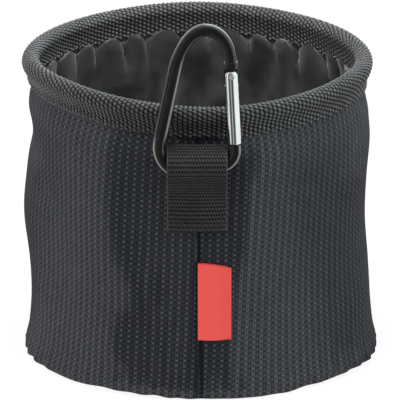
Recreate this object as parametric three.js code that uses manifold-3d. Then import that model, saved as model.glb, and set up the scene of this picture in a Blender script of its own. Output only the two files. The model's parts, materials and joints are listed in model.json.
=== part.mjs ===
// Peg bag: a round cloth bag on a wire rim, with a webbing tab and a spring-gate carabiner on its front.
// Millimetres, +Z up, origin on the floor at the middle of the base, front towards -Y.
import * as THREE from 'three';
import { mergeVertices } from 'three/addons/utils/BufferGeometryUtils.js';
import Module from 'manifold-3d';

const wasm = await Module();
wasm.setup();

// Fits and facets
const FIT_GAP = 0.3;
const BAG_FACETS = 64;
const SMALL_FACETS = 16;
const DEGREE = Math.PI / 180;

// Rim: a wire hoop, the ferrule that joins its ends, and the webbing folded over both
const HOOP_RADIUS = 85;
const HOOP_HEIGHT = 152;
const HOOP_WIRE = 2.4;
const SLEEVE_WALL = 0.4;
const SLEEVE_LENGTH = 24;
const BINDING_THICKNESS = 1.4;
const BINDING_DEPTH = 13.5;

// Cloth: the wall's outside radius at five heights, and the rounded foot
const WALL_THICKNESS = 0.9;
const LINING_THICKNESS = 0.5;
const NECK_RADIUS = 83.4;
const SHOULDER_RADIUS = 86.0;
const SHOULDER_DROP = 10.5;
const BELLY_RADIUS = 86.3;
const BELLY_HEIGHT = 100;
const WAIST_RADIUS = 86.1;
const WAIST_HEIGHT = 45;
const SKIRT_RADIUS = 87.3;
const SKIRT_HEIGHT = 14;
const FOOT_RADIUS = 89.4;
const FOOT_CORNER = 3;

// Slack lining: soft folds that start over the base and are gathered away under the binding
const LINING_FOLD_DEPTH = 5;
const LINING_FOLDS = 12;
const LINING_FOLD_WANDER = 1.4;
const LINING_PUFF_HEIGHT = 26;
const LINING_FOLD_START = 26;
const LINING_GATHER = 14;
const LINING_FACETS = 72;
const LINING_ROW = 12;

// Hanging tab: one strip of webbing, folded into a loop at its top and sewn flat below it
const TAB_WIDTH = 30;
const TAB_THICKNESS = 1.4;
const TAB_DROP = 2.3;
const TAB_TAIL = 26;
const FOLD_RADIUS = 2;
const LOOP_CLEARANCE = 0.35;
const STITCH_DROP = 4;

// Carabiner body: heights are above the lower end of its bottom bar
const BODY_WIDTH = 6;
const BODY_THICKNESS = 6;
const BODY_EDGE = 1.4;
const SIDE_CLEARANCE = 0.8;
const BAR_RISE = 1.9;
const SPINE_CORNER_REACH = 11;
const SPINE_CORNER_HEIGHT = 15;
const SPINE_LEAN = 11.9 * DEGREE;
const NOSE_CORNER_REACH = 9.2;
const NOSE_CORNER_HEIGHT = 11;
const CROWN_OFFSET = 3.9;
const CROWN_OVER_PIN = 23.3;
const CROWN_SHOULDER = 19;
const RIM_CLEARANCE = 0.35;

// Gate: a drilled rod on a rivet, pushed shut by a plunger and a spring in its bore
const GATE_DIAMETER = 6.8;
const GATE_REACH = 34.3;
const GATE_TILT = 2.95 * DEGREE;
const GATE_OVER_TAB = 1.5;
const COLLAR_LENGTH = 3.4;
const COLLAR_PROUD = 0.7;
const TONGUE_THICKNESS = 2.4;
const TONGUE_REACH = 3;
const KEY_WIDTH = 4;
const KEY_REACH = 2.8;
const PIN_DIAMETER = 2;
const PIN_HEAD_DIAMETER = 2.9;
const PIN_HEAD_DEPTH = 0.4;
const PIN_PROUD = 0.1;
const BORE_DIAMETER = 4.4;
const BORE_DEPTH = 21;
const PLUNGER_LENGTH = 4.2;
const SPIGOT_DIAMETER = 1.8;
const SPIGOT_LENGTH = 2.5;
const SPRING_WIRE = 0.5;
const SPRING_TURNS = 7;

// Label: a ribbon folded double, sewn into the front seam
const LABEL_WIDTH = 17.2;
const LABEL_HEIGHT = 40.3;
const LABEL_BOTTOM = 32.7;
const LABEL_THICKNESS = 1.2;
const LABEL_SEAM_GAP = 0.2;
const LABEL_DROOP = 3;

const at = (x, y) => new THREE.Vector2(x, y);

function arc(centre, radius, from, to, steps) {
  const points = [];
  for (let i = 0; i <= steps; i += 1) {
    const angle = from + ((to - from) * i) / steps;
    points.push(at(centre.x + radius * Math.cos(angle), centre.y + radius * Math.sin(angle)));
  }
  return points;
}

// Turns an outline of radius and height round the Z axis, from the front
function revolve(outline, facets = BAG_FACETS) {
  return new THREE.LatheGeometry(outline, facets).rotateX(Math.PI / 2);
}

function revolveRing(outline, facets = BAG_FACETS) {
  return revolve([...outline, outline[0]], facets);
}

function revolveRod(steps, facets = SMALL_FACETS) {
  return revolve([at(0, steps[0].y), ...steps, at(0, steps.at(-1).y)], facets);
}

function roundedRectangle(width, height, edge) {
  const corners = [[1, -1, -90], [1, 1, 0], [-1, 1, 90], [-1, -1, 180]];
  const outline = corners.flatMap(([right, up, start]) => {
    const centre = at(right * (width / 2 - edge), up * (height / 2 - edge));
    return arc(centre, edge, start * DEGREE, (start + 90) * DEGREE, 2);
  });
  return new THREE.Shape(outline);
}

function circleShape(radius, facets) {
  return new THREE.Shape(arc(at(0, 0), radius, 0, 2 * Math.PI, facets).slice(0, -1));
}

// A flat path, or a formula, as a space curve that a section is swept along
class SpaceCurve extends THREE.Curve {
  constructor(point) {
    super();
    this.point = point;
  }

  getPoint(t, target = new THREE.Vector3()) {
    return target.copy(this.point(t));
  }
}

function sweep(section, curve, steps) {
  return new THREE.ExtrudeGeometry(section, { steps, extrudePath: curve, bevelEnabled: false });
}

function toSolid(geometry) {
  const bare = geometry.clone();
  bare.deleteAttribute('normal');
  bare.deleteAttribute('uv');
  const merged = mergeVertices(bare, 1e-4);
  const vertProperties = new Float32Array(merged.attributes.position.array);
  const triVerts = new Uint32Array(merged.index.array);
  return new wasm.Manifold(new wasm.Mesh({ numProp: 3, vertProperties, triVerts }));
}

function toGeometry(solid) {
  const mesh = solid.getMesh();
  const geometry = new THREE.BufferGeometry();
  geometry.setAttribute('position', new THREE.BufferAttribute(mesh.vertProperties, 3));
  geometry.setIndex(new THREE.BufferAttribute(mesh.triVerts, 1));
  geometry.computeVertexNormals();
  return geometry;
}

// A block centred on X and Y between two heights
function block(width, depth, low, high) {
  return new THREE.BoxGeometry(width, depth, high - low).translate(0, 0, (low + high) / 2);
}

// A round rod along Z between two heights
function rod(radius, low, high, facets = SMALL_FACETS) {
  return revolveRod([at(radius, low), at(radius, high)], facets);
}

function crossRod(radius, low, high) {
  return rod(radius, low, high).rotateX(Math.PI / 2);
}

const cloth = (color, roughness) => new THREE.MeshStandardMaterial({ color, roughness, metalness: 0 });
const metal = (color, roughness) => new THREE.MeshStandardMaterial({ color, roughness, metalness: 1 });

const piece = (name, geometry, material) => {
  const mesh = new THREE.Mesh(geometry, material);
  mesh.name = name;
  return mesh;
};

// Rim sizes that the cloth, the tab and the carabiner are set by
const hoopCentre = at(HOOP_RADIUS, HOOP_HEIGHT);
const sleeveBore = HOOP_WIRE / 2 + FIT_GAP;
const sleeveRadius = sleeveBore + SLEEVE_WALL;
const rollBore = sleeveRadius + FIT_GAP;
const rollRadius = rollBore + BINDING_THICKNESS;
const bindingEdge = HOOP_HEIGHT - BINDING_DEPTH;
const clothStack = WALL_THICKNESS + FIT_GAP + LINING_THICKNESS;
const clothTop = HOOP_HEIGHT - sleeveRadius - FIT_GAP;

const wallSpline = new THREE.SplineCurve([
  at(FOOT_RADIUS, FOOT_CORNER),
  at(SKIRT_RADIUS, SKIRT_HEIGHT),
  at(WAIST_RADIUS, WAIST_HEIGHT),
  at(BELLY_RADIUS, BELLY_HEIGHT),
  at(SHOULDER_RADIUS, bindingEdge - SHOULDER_DROP),
  at(NECK_RADIUS, bindingEdge),
]);
const wallLine = [...wallSpline.getPoints(10), at(HOOP_RADIUS + clothStack / 2, clothTop)];

// The wall's outside radius at a height
function wallRadius(height) {
  const above = Math.max(1, wallLine.findIndex((point) => point.y >= height));
  const [lower, upper] = [wallLine[above - 1], wallLine[above]];
  return THREE.MathUtils.mapLinear(height, lower.y, upper.y, lower.x, upper.x);
}

// The wall's largest outside radius between two heights
function wallReach(low, high) {
  const inside = wallLine.filter((point) => point.y > low && point.y < high);
  return Math.max(wallRadius(low), wallRadius(high), ...inside.map((point) => point.x));
}

// A cloth tube that follows the wall line or a finer copy of it, set in from it, with a rounded foot
function clothTube(inset, thickness, line = wallLine, facets = BAG_FACETS) {
  const shifted = (depth) => line.map((point) => at(point.x - depth, point.y));
  const corner = at(FOOT_RADIUS - FOOT_CORNER, FOOT_CORNER);
  const outside = shifted(inset);
  const inside = shifted(inset + thickness).reverse();
  const outerBend = arc(corner, FOOT_CORNER - inset, -90 * DEGREE, 0, 3);
  const innerBend = arc(corner, FOOT_CORNER - inset - thickness, 0, -90 * DEGREE, 3);
  return revolveRing([...outerBend, ...outside.slice(1), ...inside.slice(0, -1), ...innerBend], facets);
}

// How far the slack lining bulges inwards, with puffs that lean round the bag
function liningFold(angle, height) {
  const { smoothstep } = THREE.MathUtils;
  const start = smoothstep(height, FOOT_CORNER, LINING_FOLD_START);
  const gathered = smoothstep(height, bindingEdge - LINING_GATHER, bindingEdge);
  const across = Math.cos(LINING_FOLDS * angle + LINING_FOLD_WANDER * Math.sin(4 * angle));
  const up = Math.cos((Math.PI * height) / LINING_PUFF_HEIGHT + 3 * angle);
  return LINING_FOLD_DEPTH * start * (1 - gathered) * (0.5 + 0.5 * across * up);
}

// Splits the quads of a revolved sheet's inner side along the same lines as those of its outer side
function matchSides(tube, rows) {
  const { index } = tube;
  for (let first = 0; first < index.count; first += 6) {
    if ((first / 6) % rows >= rows / 2) {
      const [a, b, d, c] = [0, 1, 2, 3].map((step) => index.getX(first + step));
      [a, b, c, a, c, d].forEach((corner, step) => index.setX(first + step, corner));
    }
  }
}

// The wall line with further points on its straight runs
function liningLine() {
  const line = [wallLine[0]];
  for (const end of wallLine.slice(1)) {
    const start = line.at(-1);
    const steps = Math.ceil((end.y - start.y) / LINING_ROW);
    for (let i = 1; i <= steps; i += 1) {
      line.push(start.clone().lerp(end, i / steps));
    }
  }
  return line;
}

function liningWall() {
  const tube = clothTube(WALL_THICKNESS + FIT_GAP, LINING_THICKNESS, liningLine(), LINING_FACETS);
  const points = tube.attributes.position;
  matchSides(tube, points.count / (LINING_FACETS + 1) - 1);
  for (let i = 0; i < points.count; i += 1) {
    const [x, y] = [points.getX(i), points.getY(i)];
    const radius = Math.hypot(x, y);
    const shrink = 1 - liningFold(Math.atan2(x, -y), points.getZ(i)) / radius;
    points.setX(i, x * shrink);
    points.setY(i, y * shrink);
  }
  return tube;
}

function clothDisc(low, thickness) {
  const radius = FOOT_RADIUS - FOOT_CORNER - FIT_GAP;
  return revolveRod([at(radius, low), at(radius, low + thickness)], BAG_FACETS);
}

function rimBinding() {
  const outerFlap = NECK_RADIUS + FIT_GAP;
  const innerFlap = NECK_RADIUS - clothStack - FIT_GAP;
  return revolveRing([
    at(outerFlap, bindingEdge),
    at(outerFlap + BINDING_THICKNESS, bindingEdge),
    ...arc(hoopCentre, rollRadius, 0, Math.PI, 8),
    at(innerFlap - BINDING_THICKNESS, bindingEdge),
    at(innerFlap, bindingEdge),
    ...arc(hoopCentre, rollBore, Math.PI, 0, 8),
  ]);
}

function rimHoop() {
  return revolveRing(arc(hoopCentre, HOOP_WIRE / 2, 0, 2 * Math.PI, 8).slice(0, -1));
}

// The ferrule lies on the hoop at the back of the bag
function hoopSleeve() {
  const section = circleShape(sleeveRadius, 12);
  section.holes.push(new THREE.Path(circleShape(sleeveBore, 12).getPoints()));
  const sweepAngle = SLEEVE_LENGTH / HOOP_RADIUS;
  const alongHoop = new SpaceCurve((t) => {
    const angle = Math.PI / 2 + (t - 0.5) * sweepAngle;
    return new THREE.Vector3(HOOP_RADIUS * Math.cos(angle), HOOP_RADIUS * Math.sin(angle), HOOP_HEIGHT);
  });
  return sweep(section, alongHoop, 6);
}

// Carabiner centre line, from the top of the nose corner down, along the bar and up to the spine's foot
const carabinerSide = TAB_WIDTH / 2 + SIDE_CLEARANCE + BODY_WIDTH / 2;
const gateDown = at(Math.sin(GATE_TILT), -Math.cos(GATE_TILT));
const spineUp = at(Math.sin(SPINE_LEAN), Math.cos(SPINE_LEAN));
const noseCorner = at(carabinerSide, NOSE_CORNER_HEIGHT);
const barRight = at(carabinerSide - NOSE_CORNER_REACH, BAR_RISE);
const barLeft = at(SPINE_CORNER_REACH - carabinerSide, 0);
const spineFoot = at(-carabinerSide, SPINE_CORNER_HEIGHT);
const barWay = barLeft.clone().sub(barRight).normalize();

// A smooth bend that leaves one point and reaches another along given ways
function bend(path, from, way, to, arrival, pull) {
  const leave = from.clone().addScaledVector(way, pull[0]);
  const reach = to.clone().addScaledVector(arrival, -pull[1]);
  path.bezierCurveTo(leave.x, leave.y, reach.x, reach.y, to.x, to.y);
}

function drawBasket(path) {
  const spinePull = [0.6 * SPINE_CORNER_REACH, 0.53 * SPINE_CORNER_HEIGHT];
  const nosePull = [0.45 * NOSE_CORNER_HEIGHT, 0.55 * NOSE_CORNER_REACH];
  bend(path, noseCorner, gateDown, barRight, barWay, nosePull);
  path.lineTo(barLeft.x, barLeft.y);
  bend(path, barLeft, barWay, spineFoot, spineUp, spinePull);
}

// The heights that the body takes up across the tab's width; the swing axis lies midway between them
function basketSpan() {
  const basket = new THREE.Path().moveTo(noseCorner.x, noseCorner.y);
  drawBasket(basket);
  const samples = 60;
  const heights = [];
  for (let i = 0; i <= samples; i += 1) {
    const point = basket.getPoint(i / samples);
    const across = basket.getTangent(i / samples).rotateAround(at(0, 0), Math.PI / 2);
    for (const reach of [-BODY_WIDTH / 2, BODY_WIDTH / 2]) {
      const edge = point.clone().addScaledVector(across, reach);
      if (Math.abs(edge.x) < TAB_WIDTH / 2 + FIT_GAP) {
        heights.push(edge.y);
      }
    }
  }
  return { low: Math.min(...heights), high: Math.max(...heights) };
}

const span = basketSpan();
const axisOverBar = (span.low + span.high) / 2;
const edgeRise = (span.high - span.low) / 2 - BODY_EDGE;
const barTurnRadius = Math.hypot(edgeRise, BODY_THICKNESS / 2 - BODY_EDGE) + BODY_EDGE;
const loopRadius = barTurnRadius + LOOP_CLEARANCE;

// Where the tab and the swing axis sit: heights, and distances out from the bag's middle
const tabTop = bindingEdge - TAB_DROP;
const foldHeight = tabTop - TAB_THICKNESS - FOLD_RADIUS;
const axisHeight = foldHeight - loopRadius;
const stitchHeight = axisHeight - loopRadius - STITCH_DROP;
const tabBottom = stitchHeight - TAB_TAIL;
const tabBack = wallReach(tabBottom, tabTop) + FIT_GAP;
const tabMiddle = tabBack + TAB_THICKNESS;
const axisDepth = tabMiddle + loopRadius;

// Angle of the outward side of a band drawn anticlockwise from one circle to the next
function bandSide(from, to) {
  const way = to.centre.clone().sub(from.centre);
  return way.angle() - Math.PI / 2 + Math.asin((from.radius - to.radius) / way.length());
}

// The stretch of a tight band that lies on one of three circles
function bandArc(before, here, after, grow, steps) {
  const start = bandSide(before, here);
  const turn = (bandSide(here, after) - start + 4 * Math.PI) % (2 * Math.PI);
  return arc(here.centre, here.radius + grow, start, start + turn, steps);
}

// The strip seen from its side: u is the distance out from the bag's middle, v the height
function tabSection() {
  const stitch = { centre: at(tabMiddle, stitchHeight), radius: 0 };
  const barRoom = { centre: at(axisDepth, axisHeight), radius: loopRadius };
  const fold = { centre: at(tabMiddle + FOLD_RADIUS, foldHeight), radius: FOLD_RADIUS };
  const loop = (grow) => [
    ...bandArc(stitch, barRoom, fold, grow, 10),
    ...bandArc(barRoom, fold, stitch, grow, 6),
  ];
  const outward = at(1, 0);
  const side = bandSide(stitch, barRoom);
  const loopSide = at(Math.cos(side), Math.sin(side));
  const mitre = TAB_THICKNESS / (1 + outward.dot(loopSide));
  const crease = stitch.centre.clone().addScaledVector(outward.clone().add(loopSide), mitre);
  const section = new THREE.Shape([
    at(tabMiddle + TAB_THICKNESS, tabBottom),
    crease,
    ...loop(TAB_THICKNESS),
    at(tabBack, tabBottom),
  ]);
  section.holes.push(new THREE.Path([stitch.centre, ...loop(0)]));
  return section;
}

// The sewn part lies round the wall; the loop above it stays straight across
function hangingTab() {
  const strip = new THREE.ExtrudeGeometry(tabSection(), { depth: TAB_WIDTH, steps: 6, bevelEnabled: false });
  const outward = new THREE.Vector3(0, -1, 0);
  const up = new THREE.Vector3(0, 0, 1);
  const across = new THREE.Vector3(-1, 0, 0);
  strip.translate(0, 0, -TAB_WIDTH / 2);
  strip.applyMatrix4(new THREE.Matrix4().makeBasis(outward, up, across));
  const points = strip.attributes.position;
  for (let i = 0; i < points.count; i += 1) {
    const x = points.getX(i);
    const flat = THREE.MathUtils.clamp((points.getZ(i) - stitchHeight) / STITCH_DROP, 0, 1);
    const fallBack = tabBack - Math.sqrt(tabBack ** 2 - x ** 2);
    points.setY(i, points.getY(i) + (1 - flat) * fallBack);
  }
  return strip;
}

// Gate geometry: the pin is its origin, the gate hangs down along -Z
const gateRadius = GATE_DIAMETER / 2;
const gateCrown = gateRadius + FIT_GAP;
const collarFloor = gateCrown + FIT_GAP;
const noseTop = GATE_REACH + FIT_GAP;
const pinHole = PIN_DIAMETER / 2 + FIT_GAP;
const slotWidth = TONGUE_THICKNESS + 2 * FIT_GAP;
const gateEndHeight = tabTop - axisHeight + axisOverBar + GATE_OVER_TAB;
const gateEndDrop = (gateEndHeight - NOSE_CORNER_HEIGHT) / gateDown.y;
const gateEnd = noseCorner.clone().addScaledVector(gateDown, gateEndDrop);
const pin = gateEnd.clone().addScaledVector(gateDown, -GATE_REACH);
const gateFrame = new THREE.Matrix4()
  .makeRotationY(-GATE_TILT)
  .setPosition(pin.x, 0, pin.y - axisOverBar);

const onGateLine = (down) => pin.clone().addScaledVector(gateDown, down);

function bodyCurve() {
  const nose = onGateLine(noseTop);
  const crown = at(CROWN_OFFSET, pin.y + CROWN_OVER_PIN);
  const spineRun = (crown.y - CROWN_SHOULDER - spineFoot.y) / spineUp.y;
  const spineHead = spineFoot.clone().addScaledVector(spineUp, spineRun);
  const crownEnd = onGateLine(-collarFloor - COLLAR_LENGTH - FIT_GAP);
  const crownDrop = crown.y - crownEnd.y;
  const bodyEnd = onGateLine(-collarFloor - COLLAR_LENGTH / 2);
  const level = at(1, 0);
  const path = new THREE.Path().moveTo(nose.x, nose.y);
  path.lineTo(noseCorner.x, noseCorner.y);
  drawBasket(path);
  path.lineTo(spineHead.x, spineHead.y);
  bend(path, spineHead, spineUp, crown, level, [0.38 * CROWN_SHOULDER, 0.4 * CROWN_SHOULDER]);
  bend(path, crown, level, crownEnd, gateDown, [0.42 * crownDrop, 0.62 * crownDrop]);
  path.lineTo(bodyEnd.x, bodyEnd.y);
  return new SpaceCurve((t) => {
    const point = path.getPoint(t);
    return new THREE.Vector3(point.x, 0, point.y - axisOverBar);
  });
}

function collar() {
  const outline = roundedRectangle(BODY_WIDTH + 2 * COLLAR_PROUD, BODY_THICKNESS + COLLAR_PROUD, BODY_EDGE);
  const ring = new THREE.ExtrudeGeometry(outline, { depth: COLLAR_LENGTH, bevelEnabled: false });
  return ring.translate(0, 0, collarFloor);
}

function carabinerBody() {
  const section = roundedRectangle(BODY_THICKNESS, BODY_WIDTH, BODY_EDGE);
  const overlap = COLLAR_LENGTH / 2;
  const tongue = block(BODY_WIDTH, TONGUE_THICKNESS, -TONGUE_REACH, collarFloor + overlap);
  const key = block(KEY_WIDTH, TONGUE_THICKNESS, -noseTop - overlap, KEY_REACH - GATE_REACH);
  const inGateFrame = (geometry) => toSolid(geometry.applyMatrix4(gateFrame));
  const solid = toSolid(sweep(section, bodyCurve(), 72))
    .add(inGateFrame(collar()))
    .add(inGateFrame(tongue))
    .add(inGateFrame(key))
    .subtract(inGateFrame(crossRod(pinHole, -BODY_THICKNESS, BODY_THICKNESS)));
  return toGeometry(solid);
}

function gatePin() {
  const shaft = PIN_DIAMETER / 2;
  const head = PIN_HEAD_DIAMETER / 2;
  const end = gateRadius + PIN_PROUD;
  const neck = end - PIN_HEAD_DEPTH;
  const half = [at(shaft, neck), at(head, neck), at(head, end)];
  const mirrored = half.map((point) => at(point.x, -point.y)).reverse();
  return revolveRod([...mirrored, ...half]).rotateX(Math.PI / 2);
}

function gateTube() {
  const wide = 2 * GATE_DIAMETER;
  const headSeat = gateRadius + PIN_PROUD - PIN_HEAD_DEPTH - FIT_GAP;
  const headHole = PIN_HEAD_DIAMETER / 2 + FIT_GAP;
  const tongueSlot = Math.hypot(TONGUE_REACH, BODY_WIDTH / 2) + FIT_GAP;
  const keySlot = GATE_REACH - KEY_REACH - 2 * FIT_GAP;
  const roundedTop = toSolid(crossRod(gateCrown, -wide, wide))
    .add(toSolid(block(wide, wide, -noseTop, 0)));
  const solid = toSolid(rod(gateRadius, -GATE_REACH, gateCrown, 24))
    .intersect(roundedTop)
    .subtract(toSolid(rod(BORE_DIAMETER / 2, -BORE_DEPTH, wide)))
    .subtract(toSolid(block(wide, slotWidth, -tongueSlot, wide)))
    .subtract(toSolid(block(wide, slotWidth, -noseTop, -keySlot)))
    .subtract(toSolid(crossRod(pinHole, -wide, wide)))
    .subtract(toSolid(crossRod(headHole, headSeat, wide)))
    .subtract(toSolid(crossRod(headHole, -wide, -headSeat)));
  return toGeometry(solid);
}

const plungerTop = -TONGUE_REACH - FIT_GAP;
const plungerShoulder = plungerTop - PLUNGER_LENGTH;

function gatePlunger() {
  const body = BORE_DIAMETER / 2 - FIT_GAP;
  const spigotEnd = plungerShoulder - SPIGOT_LENGTH;
  return revolveRod([
    at(SPIGOT_DIAMETER / 2, spigotEnd),
    at(SPIGOT_DIAMETER / 2, plungerShoulder),
    at(body, plungerShoulder),
    at(body, plungerTop),
  ]);
}

// The spring stands between the bore's floor and the plunger's shoulder
function springCurve() {
  const radius = BORE_DIAMETER / 2 - FIT_GAP - SPRING_WIRE / 2;
  const low = FIT_GAP + SPRING_WIRE / 2 - BORE_DEPTH;
  const high = plungerShoulder - FIT_GAP - SPRING_WIRE / 2;
  return new SpaceCurve((t) => {
    const angle = 2 * Math.PI * SPRING_TURNS * t;
    return new THREE.Vector3(radius * Math.cos(angle), radius * Math.sin(angle), low + (high - low) * t);
  });
}

// Least distance between the surfaces of neighbouring turns, measured on points along the wire
function leastCoilGap(curve) {
  const perTurn = 24;
  const points = curve.getPoints(SPRING_TURNS * perTurn);
  let least = Infinity;
  for (let i = 0; i < points.length; i += 1) {
    for (let j = i + perTurn / 2; j < points.length; j += 1) {
      least = Math.min(least, points[i].distanceTo(points[j]));
    }
  }
  return least - SPRING_WIRE;
}

function gateSpring() {
  const curve = springCurve();
  console.log(`gate_spring: least gap between turns ${leastCoilGap(curve).toFixed(2)} mm`);
  return sweep(circleShape(SPRING_WIRE / 2, 5), curve, SPRING_TURNS * 8);
}

// The label lies round the wall, to the right of the seam; its free upper corner droops
const labelBack = wallReach(LABEL_BOTTOM, LABEL_BOTTOM + LABEL_HEIGHT) + FIT_GAP;
const labelFront = labelBack + LABEL_THICKNESS;

function sideLabel() {
  const seamAngle = LABEL_SEAM_GAP / labelFront - Math.PI / 2;
  const freeAngle = LABEL_WIDTH / labelFront - Math.PI / 2;
  const plan = new THREE.Shape([
    ...arc(at(0, 0), labelFront, seamAngle, freeAngle, 6),
    ...arc(at(0, 0), labelBack, freeAngle, seamAngle, 6),
  ]);
  const ribbon = new THREE.ExtrudeGeometry(plan, { depth: LABEL_HEIGHT, bevelEnabled: false });
  const points = ribbon.attributes.position;
  for (let i = 0; i < points.count; i += 1) {
    const rise = points.getZ(i) / LABEL_HEIGHT;
    const droop = LABEL_DROOP * (points.getX(i) / LABEL_WIDTH) ** 2;
    points.setZ(i, LABEL_BOTTOM + points.getZ(i) - rise * droop);
  }
  return ribbon;
}

// The carabiner leans back until its gate, at any opening, just clears the rim
function restLean() {
  const out = axisDepth - HOOP_RADIUS;
  const up = HOOP_HEIGHT - axisHeight;
  const clear = gateRadius + rollRadius + RIM_CLEARANCE;
  return Math.acos(clear / Math.hypot(out, up)) - Math.atan2(up, out);
}

const lean = restLean();
const pegBag = new THREE.Group();

pegBag.add(
  piece('outer_wall', clothTube(0, WALL_THICKNESS), cloth(0x2c2d33, 0.85)),
  piece('base_panel', clothDisc(0, WALL_THICKNESS), cloth(0x2c2d33, 0.85)),
  piece('lining_wall', liningWall(), cloth(0x24252a, 0.7)),
  piece('lining_base', clothDisc(WALL_THICKNESS + FIT_GAP, LINING_THICKNESS), cloth(0x24252a, 0.7)),
  piece('rim_hoop', rimHoop(), metal(0x9a9a9c, 0.35)),
  piece('hoop_sleeve', hoopSleeve(), metal(0xa8a8aa, 0.4)),
  piece('rim_binding', rimBinding(), cloth(0x232428, 0.9)),
  piece('hanging_tab', hangingTab(), cloth(0x222327, 0.9)),
  piece('side_label', sideLabel(), cloth(0xe64c48, 0.75)),
);

const carabiner = new THREE.Group();
carabiner.position.set(0, -axisDepth, axisHeight);
carabiner.rotation.x = -lean;
carabiner.add(piece('carabiner_body', carabinerBody(), metal(0x26272b, 0.3)));
pegBag.add(carabiner);

const gate = new THREE.Group();
gate.position.setFromMatrixPosition(gateFrame);
gate.rotation.y = -GATE_TILT;
gate.add(
  piece('gate_pin', gatePin(), metal(0xc4c4c6, 0.3)),
  piece('gate_tube', gateTube(), metal(0xd6d6d8, 0.15)),
  piece('gate_plunger', gatePlunger(), metal(0xb0b0b2, 0.4)),
  piece('gate_spring', gateSpring(), metal(0x9c9c9e, 0.35)),
);
carabiner.add(gate);

// Points and directions that the moving pieces turn about or slide along, in the bag's frame
pegBag.updateMatrixWorld(true);
pegBag.userData.pivots = {
  carabinerAxis: carabiner.position.toArray(),
  gatePin: gate.getWorldPosition(new THREE.Vector3()).toArray(),
  gatePinWay: new THREE.Vector3(0, 1, 0).transformDirection(gate.matrixWorld).toArray(),
  plungerWay: new THREE.Vector3(0, 0, -1).transformDirection(gate.matrixWorld).toArray(),
  labelSeam: [0, -(labelBack + labelFront) / 2, LABEL_BOTTOM],
};

export default pegBag;
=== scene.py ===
"""Peg bag: cloth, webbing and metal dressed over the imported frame.

Metres, +Z up. The front, with the seam, the tab and the label, faces -Y. Angles round the bag
start at the front and grow towards +X.
"""
import json
import logging
import math
from abc import ABC, abstractmethod
from dataclasses import dataclass, field, replace
from enum import Enum
from typing import Any, Callable, ClassVar, Union

import bmesh
import bpy
import numpy as np
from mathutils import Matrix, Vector


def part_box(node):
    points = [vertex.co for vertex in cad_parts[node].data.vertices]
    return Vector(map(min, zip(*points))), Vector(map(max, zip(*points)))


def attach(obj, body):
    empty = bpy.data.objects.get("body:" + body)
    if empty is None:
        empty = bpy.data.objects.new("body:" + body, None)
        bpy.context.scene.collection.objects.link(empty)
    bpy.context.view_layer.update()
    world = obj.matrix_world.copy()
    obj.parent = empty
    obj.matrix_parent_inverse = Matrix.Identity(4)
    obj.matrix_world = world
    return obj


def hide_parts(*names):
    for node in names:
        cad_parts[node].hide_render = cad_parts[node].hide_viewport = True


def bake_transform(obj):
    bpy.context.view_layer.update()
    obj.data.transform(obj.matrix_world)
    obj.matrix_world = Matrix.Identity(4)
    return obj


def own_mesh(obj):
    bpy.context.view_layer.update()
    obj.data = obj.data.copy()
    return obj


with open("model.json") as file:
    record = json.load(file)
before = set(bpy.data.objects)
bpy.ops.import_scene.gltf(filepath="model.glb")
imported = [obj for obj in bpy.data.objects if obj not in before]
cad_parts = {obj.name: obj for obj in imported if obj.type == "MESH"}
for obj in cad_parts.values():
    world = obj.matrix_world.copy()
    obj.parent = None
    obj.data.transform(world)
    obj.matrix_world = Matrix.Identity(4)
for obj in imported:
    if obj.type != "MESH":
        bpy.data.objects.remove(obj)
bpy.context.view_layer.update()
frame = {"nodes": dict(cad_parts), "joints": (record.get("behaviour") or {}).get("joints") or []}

LOG = logging.getLogger("peg_bag")
MM = 0.001
FULL_TURN = 2 * math.pi
MAP_NAME = "OFBake"

Array = np.ndarray
Piece = bpy.types.Object
Socket = bpy.types.NodeSocket
Span = tuple[float, float]
Place = tuple[float, float, float]
Waves = tuple[tuple[float, float, float], ...]
Colour = tuple[float, float, float]
WHITE: Colour = (1.0, 1.0, 1.0)
Operand = Union["Value", float]


class Body(Enum):
    """The frame's moving bodies."""

    BAG = "bag"
    CARABINER = "carabiner"
    GATE = "gate"
    LABEL = "label"


class Stagger(Enum):
    """Which lines of a weave are shifted by half a bump."""

    COLUMNS = "columns"
    ROWS = "rows"


# Shader building


def maths(operation: str, turned: bool = False) -> Callable[..., "Value"]:
    """A method that adds a Math node.

    Args:
        operation: The node's operation.
        turned: Whether the method's own value comes last, as in an operator's reflected form.

    Returns:
        The method.
    """
    def method(value: "Value", *others: Operand) -> "Value":
        """Adds the node for a value and what it is taken with."""
        return value.graph.math(operation, *((*others, value) if turned else (value, *others)))

    return method


class Value:
    """A shader socket that takes part in Python expressions."""

    __add__, __radd__ = maths("ADD"), maths("ADD", True)
    __sub__, __rsub__ = maths("SUBTRACT"), maths("SUBTRACT", True)
    __mul__, __rmul__ = maths("MULTIPLY"), maths("MULTIPLY", True)
    __truediv__, __rtruediv__ = maths("DIVIDE"), maths("DIVIDE", True)
    __pow__, __rpow__ = maths("POWER"), maths("POWER", True)
    __mod__, __rmod__ = maths("FLOORED_MODULO"), maths("FLOORED_MODULO", True)
    __abs__, sine = maths("ABSOLUTE"), maths("SINE")
    at_most, at_least = maths("MINIMUM"), maths("MAXIMUM")

    def __init__(self, graph: "Graph", socket: Socket) -> None:
        """Keeps the socket and the graph that it belongs to."""
        self.graph = graph
        self.socket = socket

    def __neg__(self) -> "Value":
        """The value with its sign turned."""
        return self * -1.0

    def ease(self, low: float, high: float) -> "Value":
        """A smooth step, from 0 at low to 1 at high."""
        inputs = {"Value": self, "From Min": low, "From Max": high}
        return self.graph.value("ShaderNodeMapRange", {"interpolation_type": "SMOOTHSTEP"}, inputs)


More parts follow.
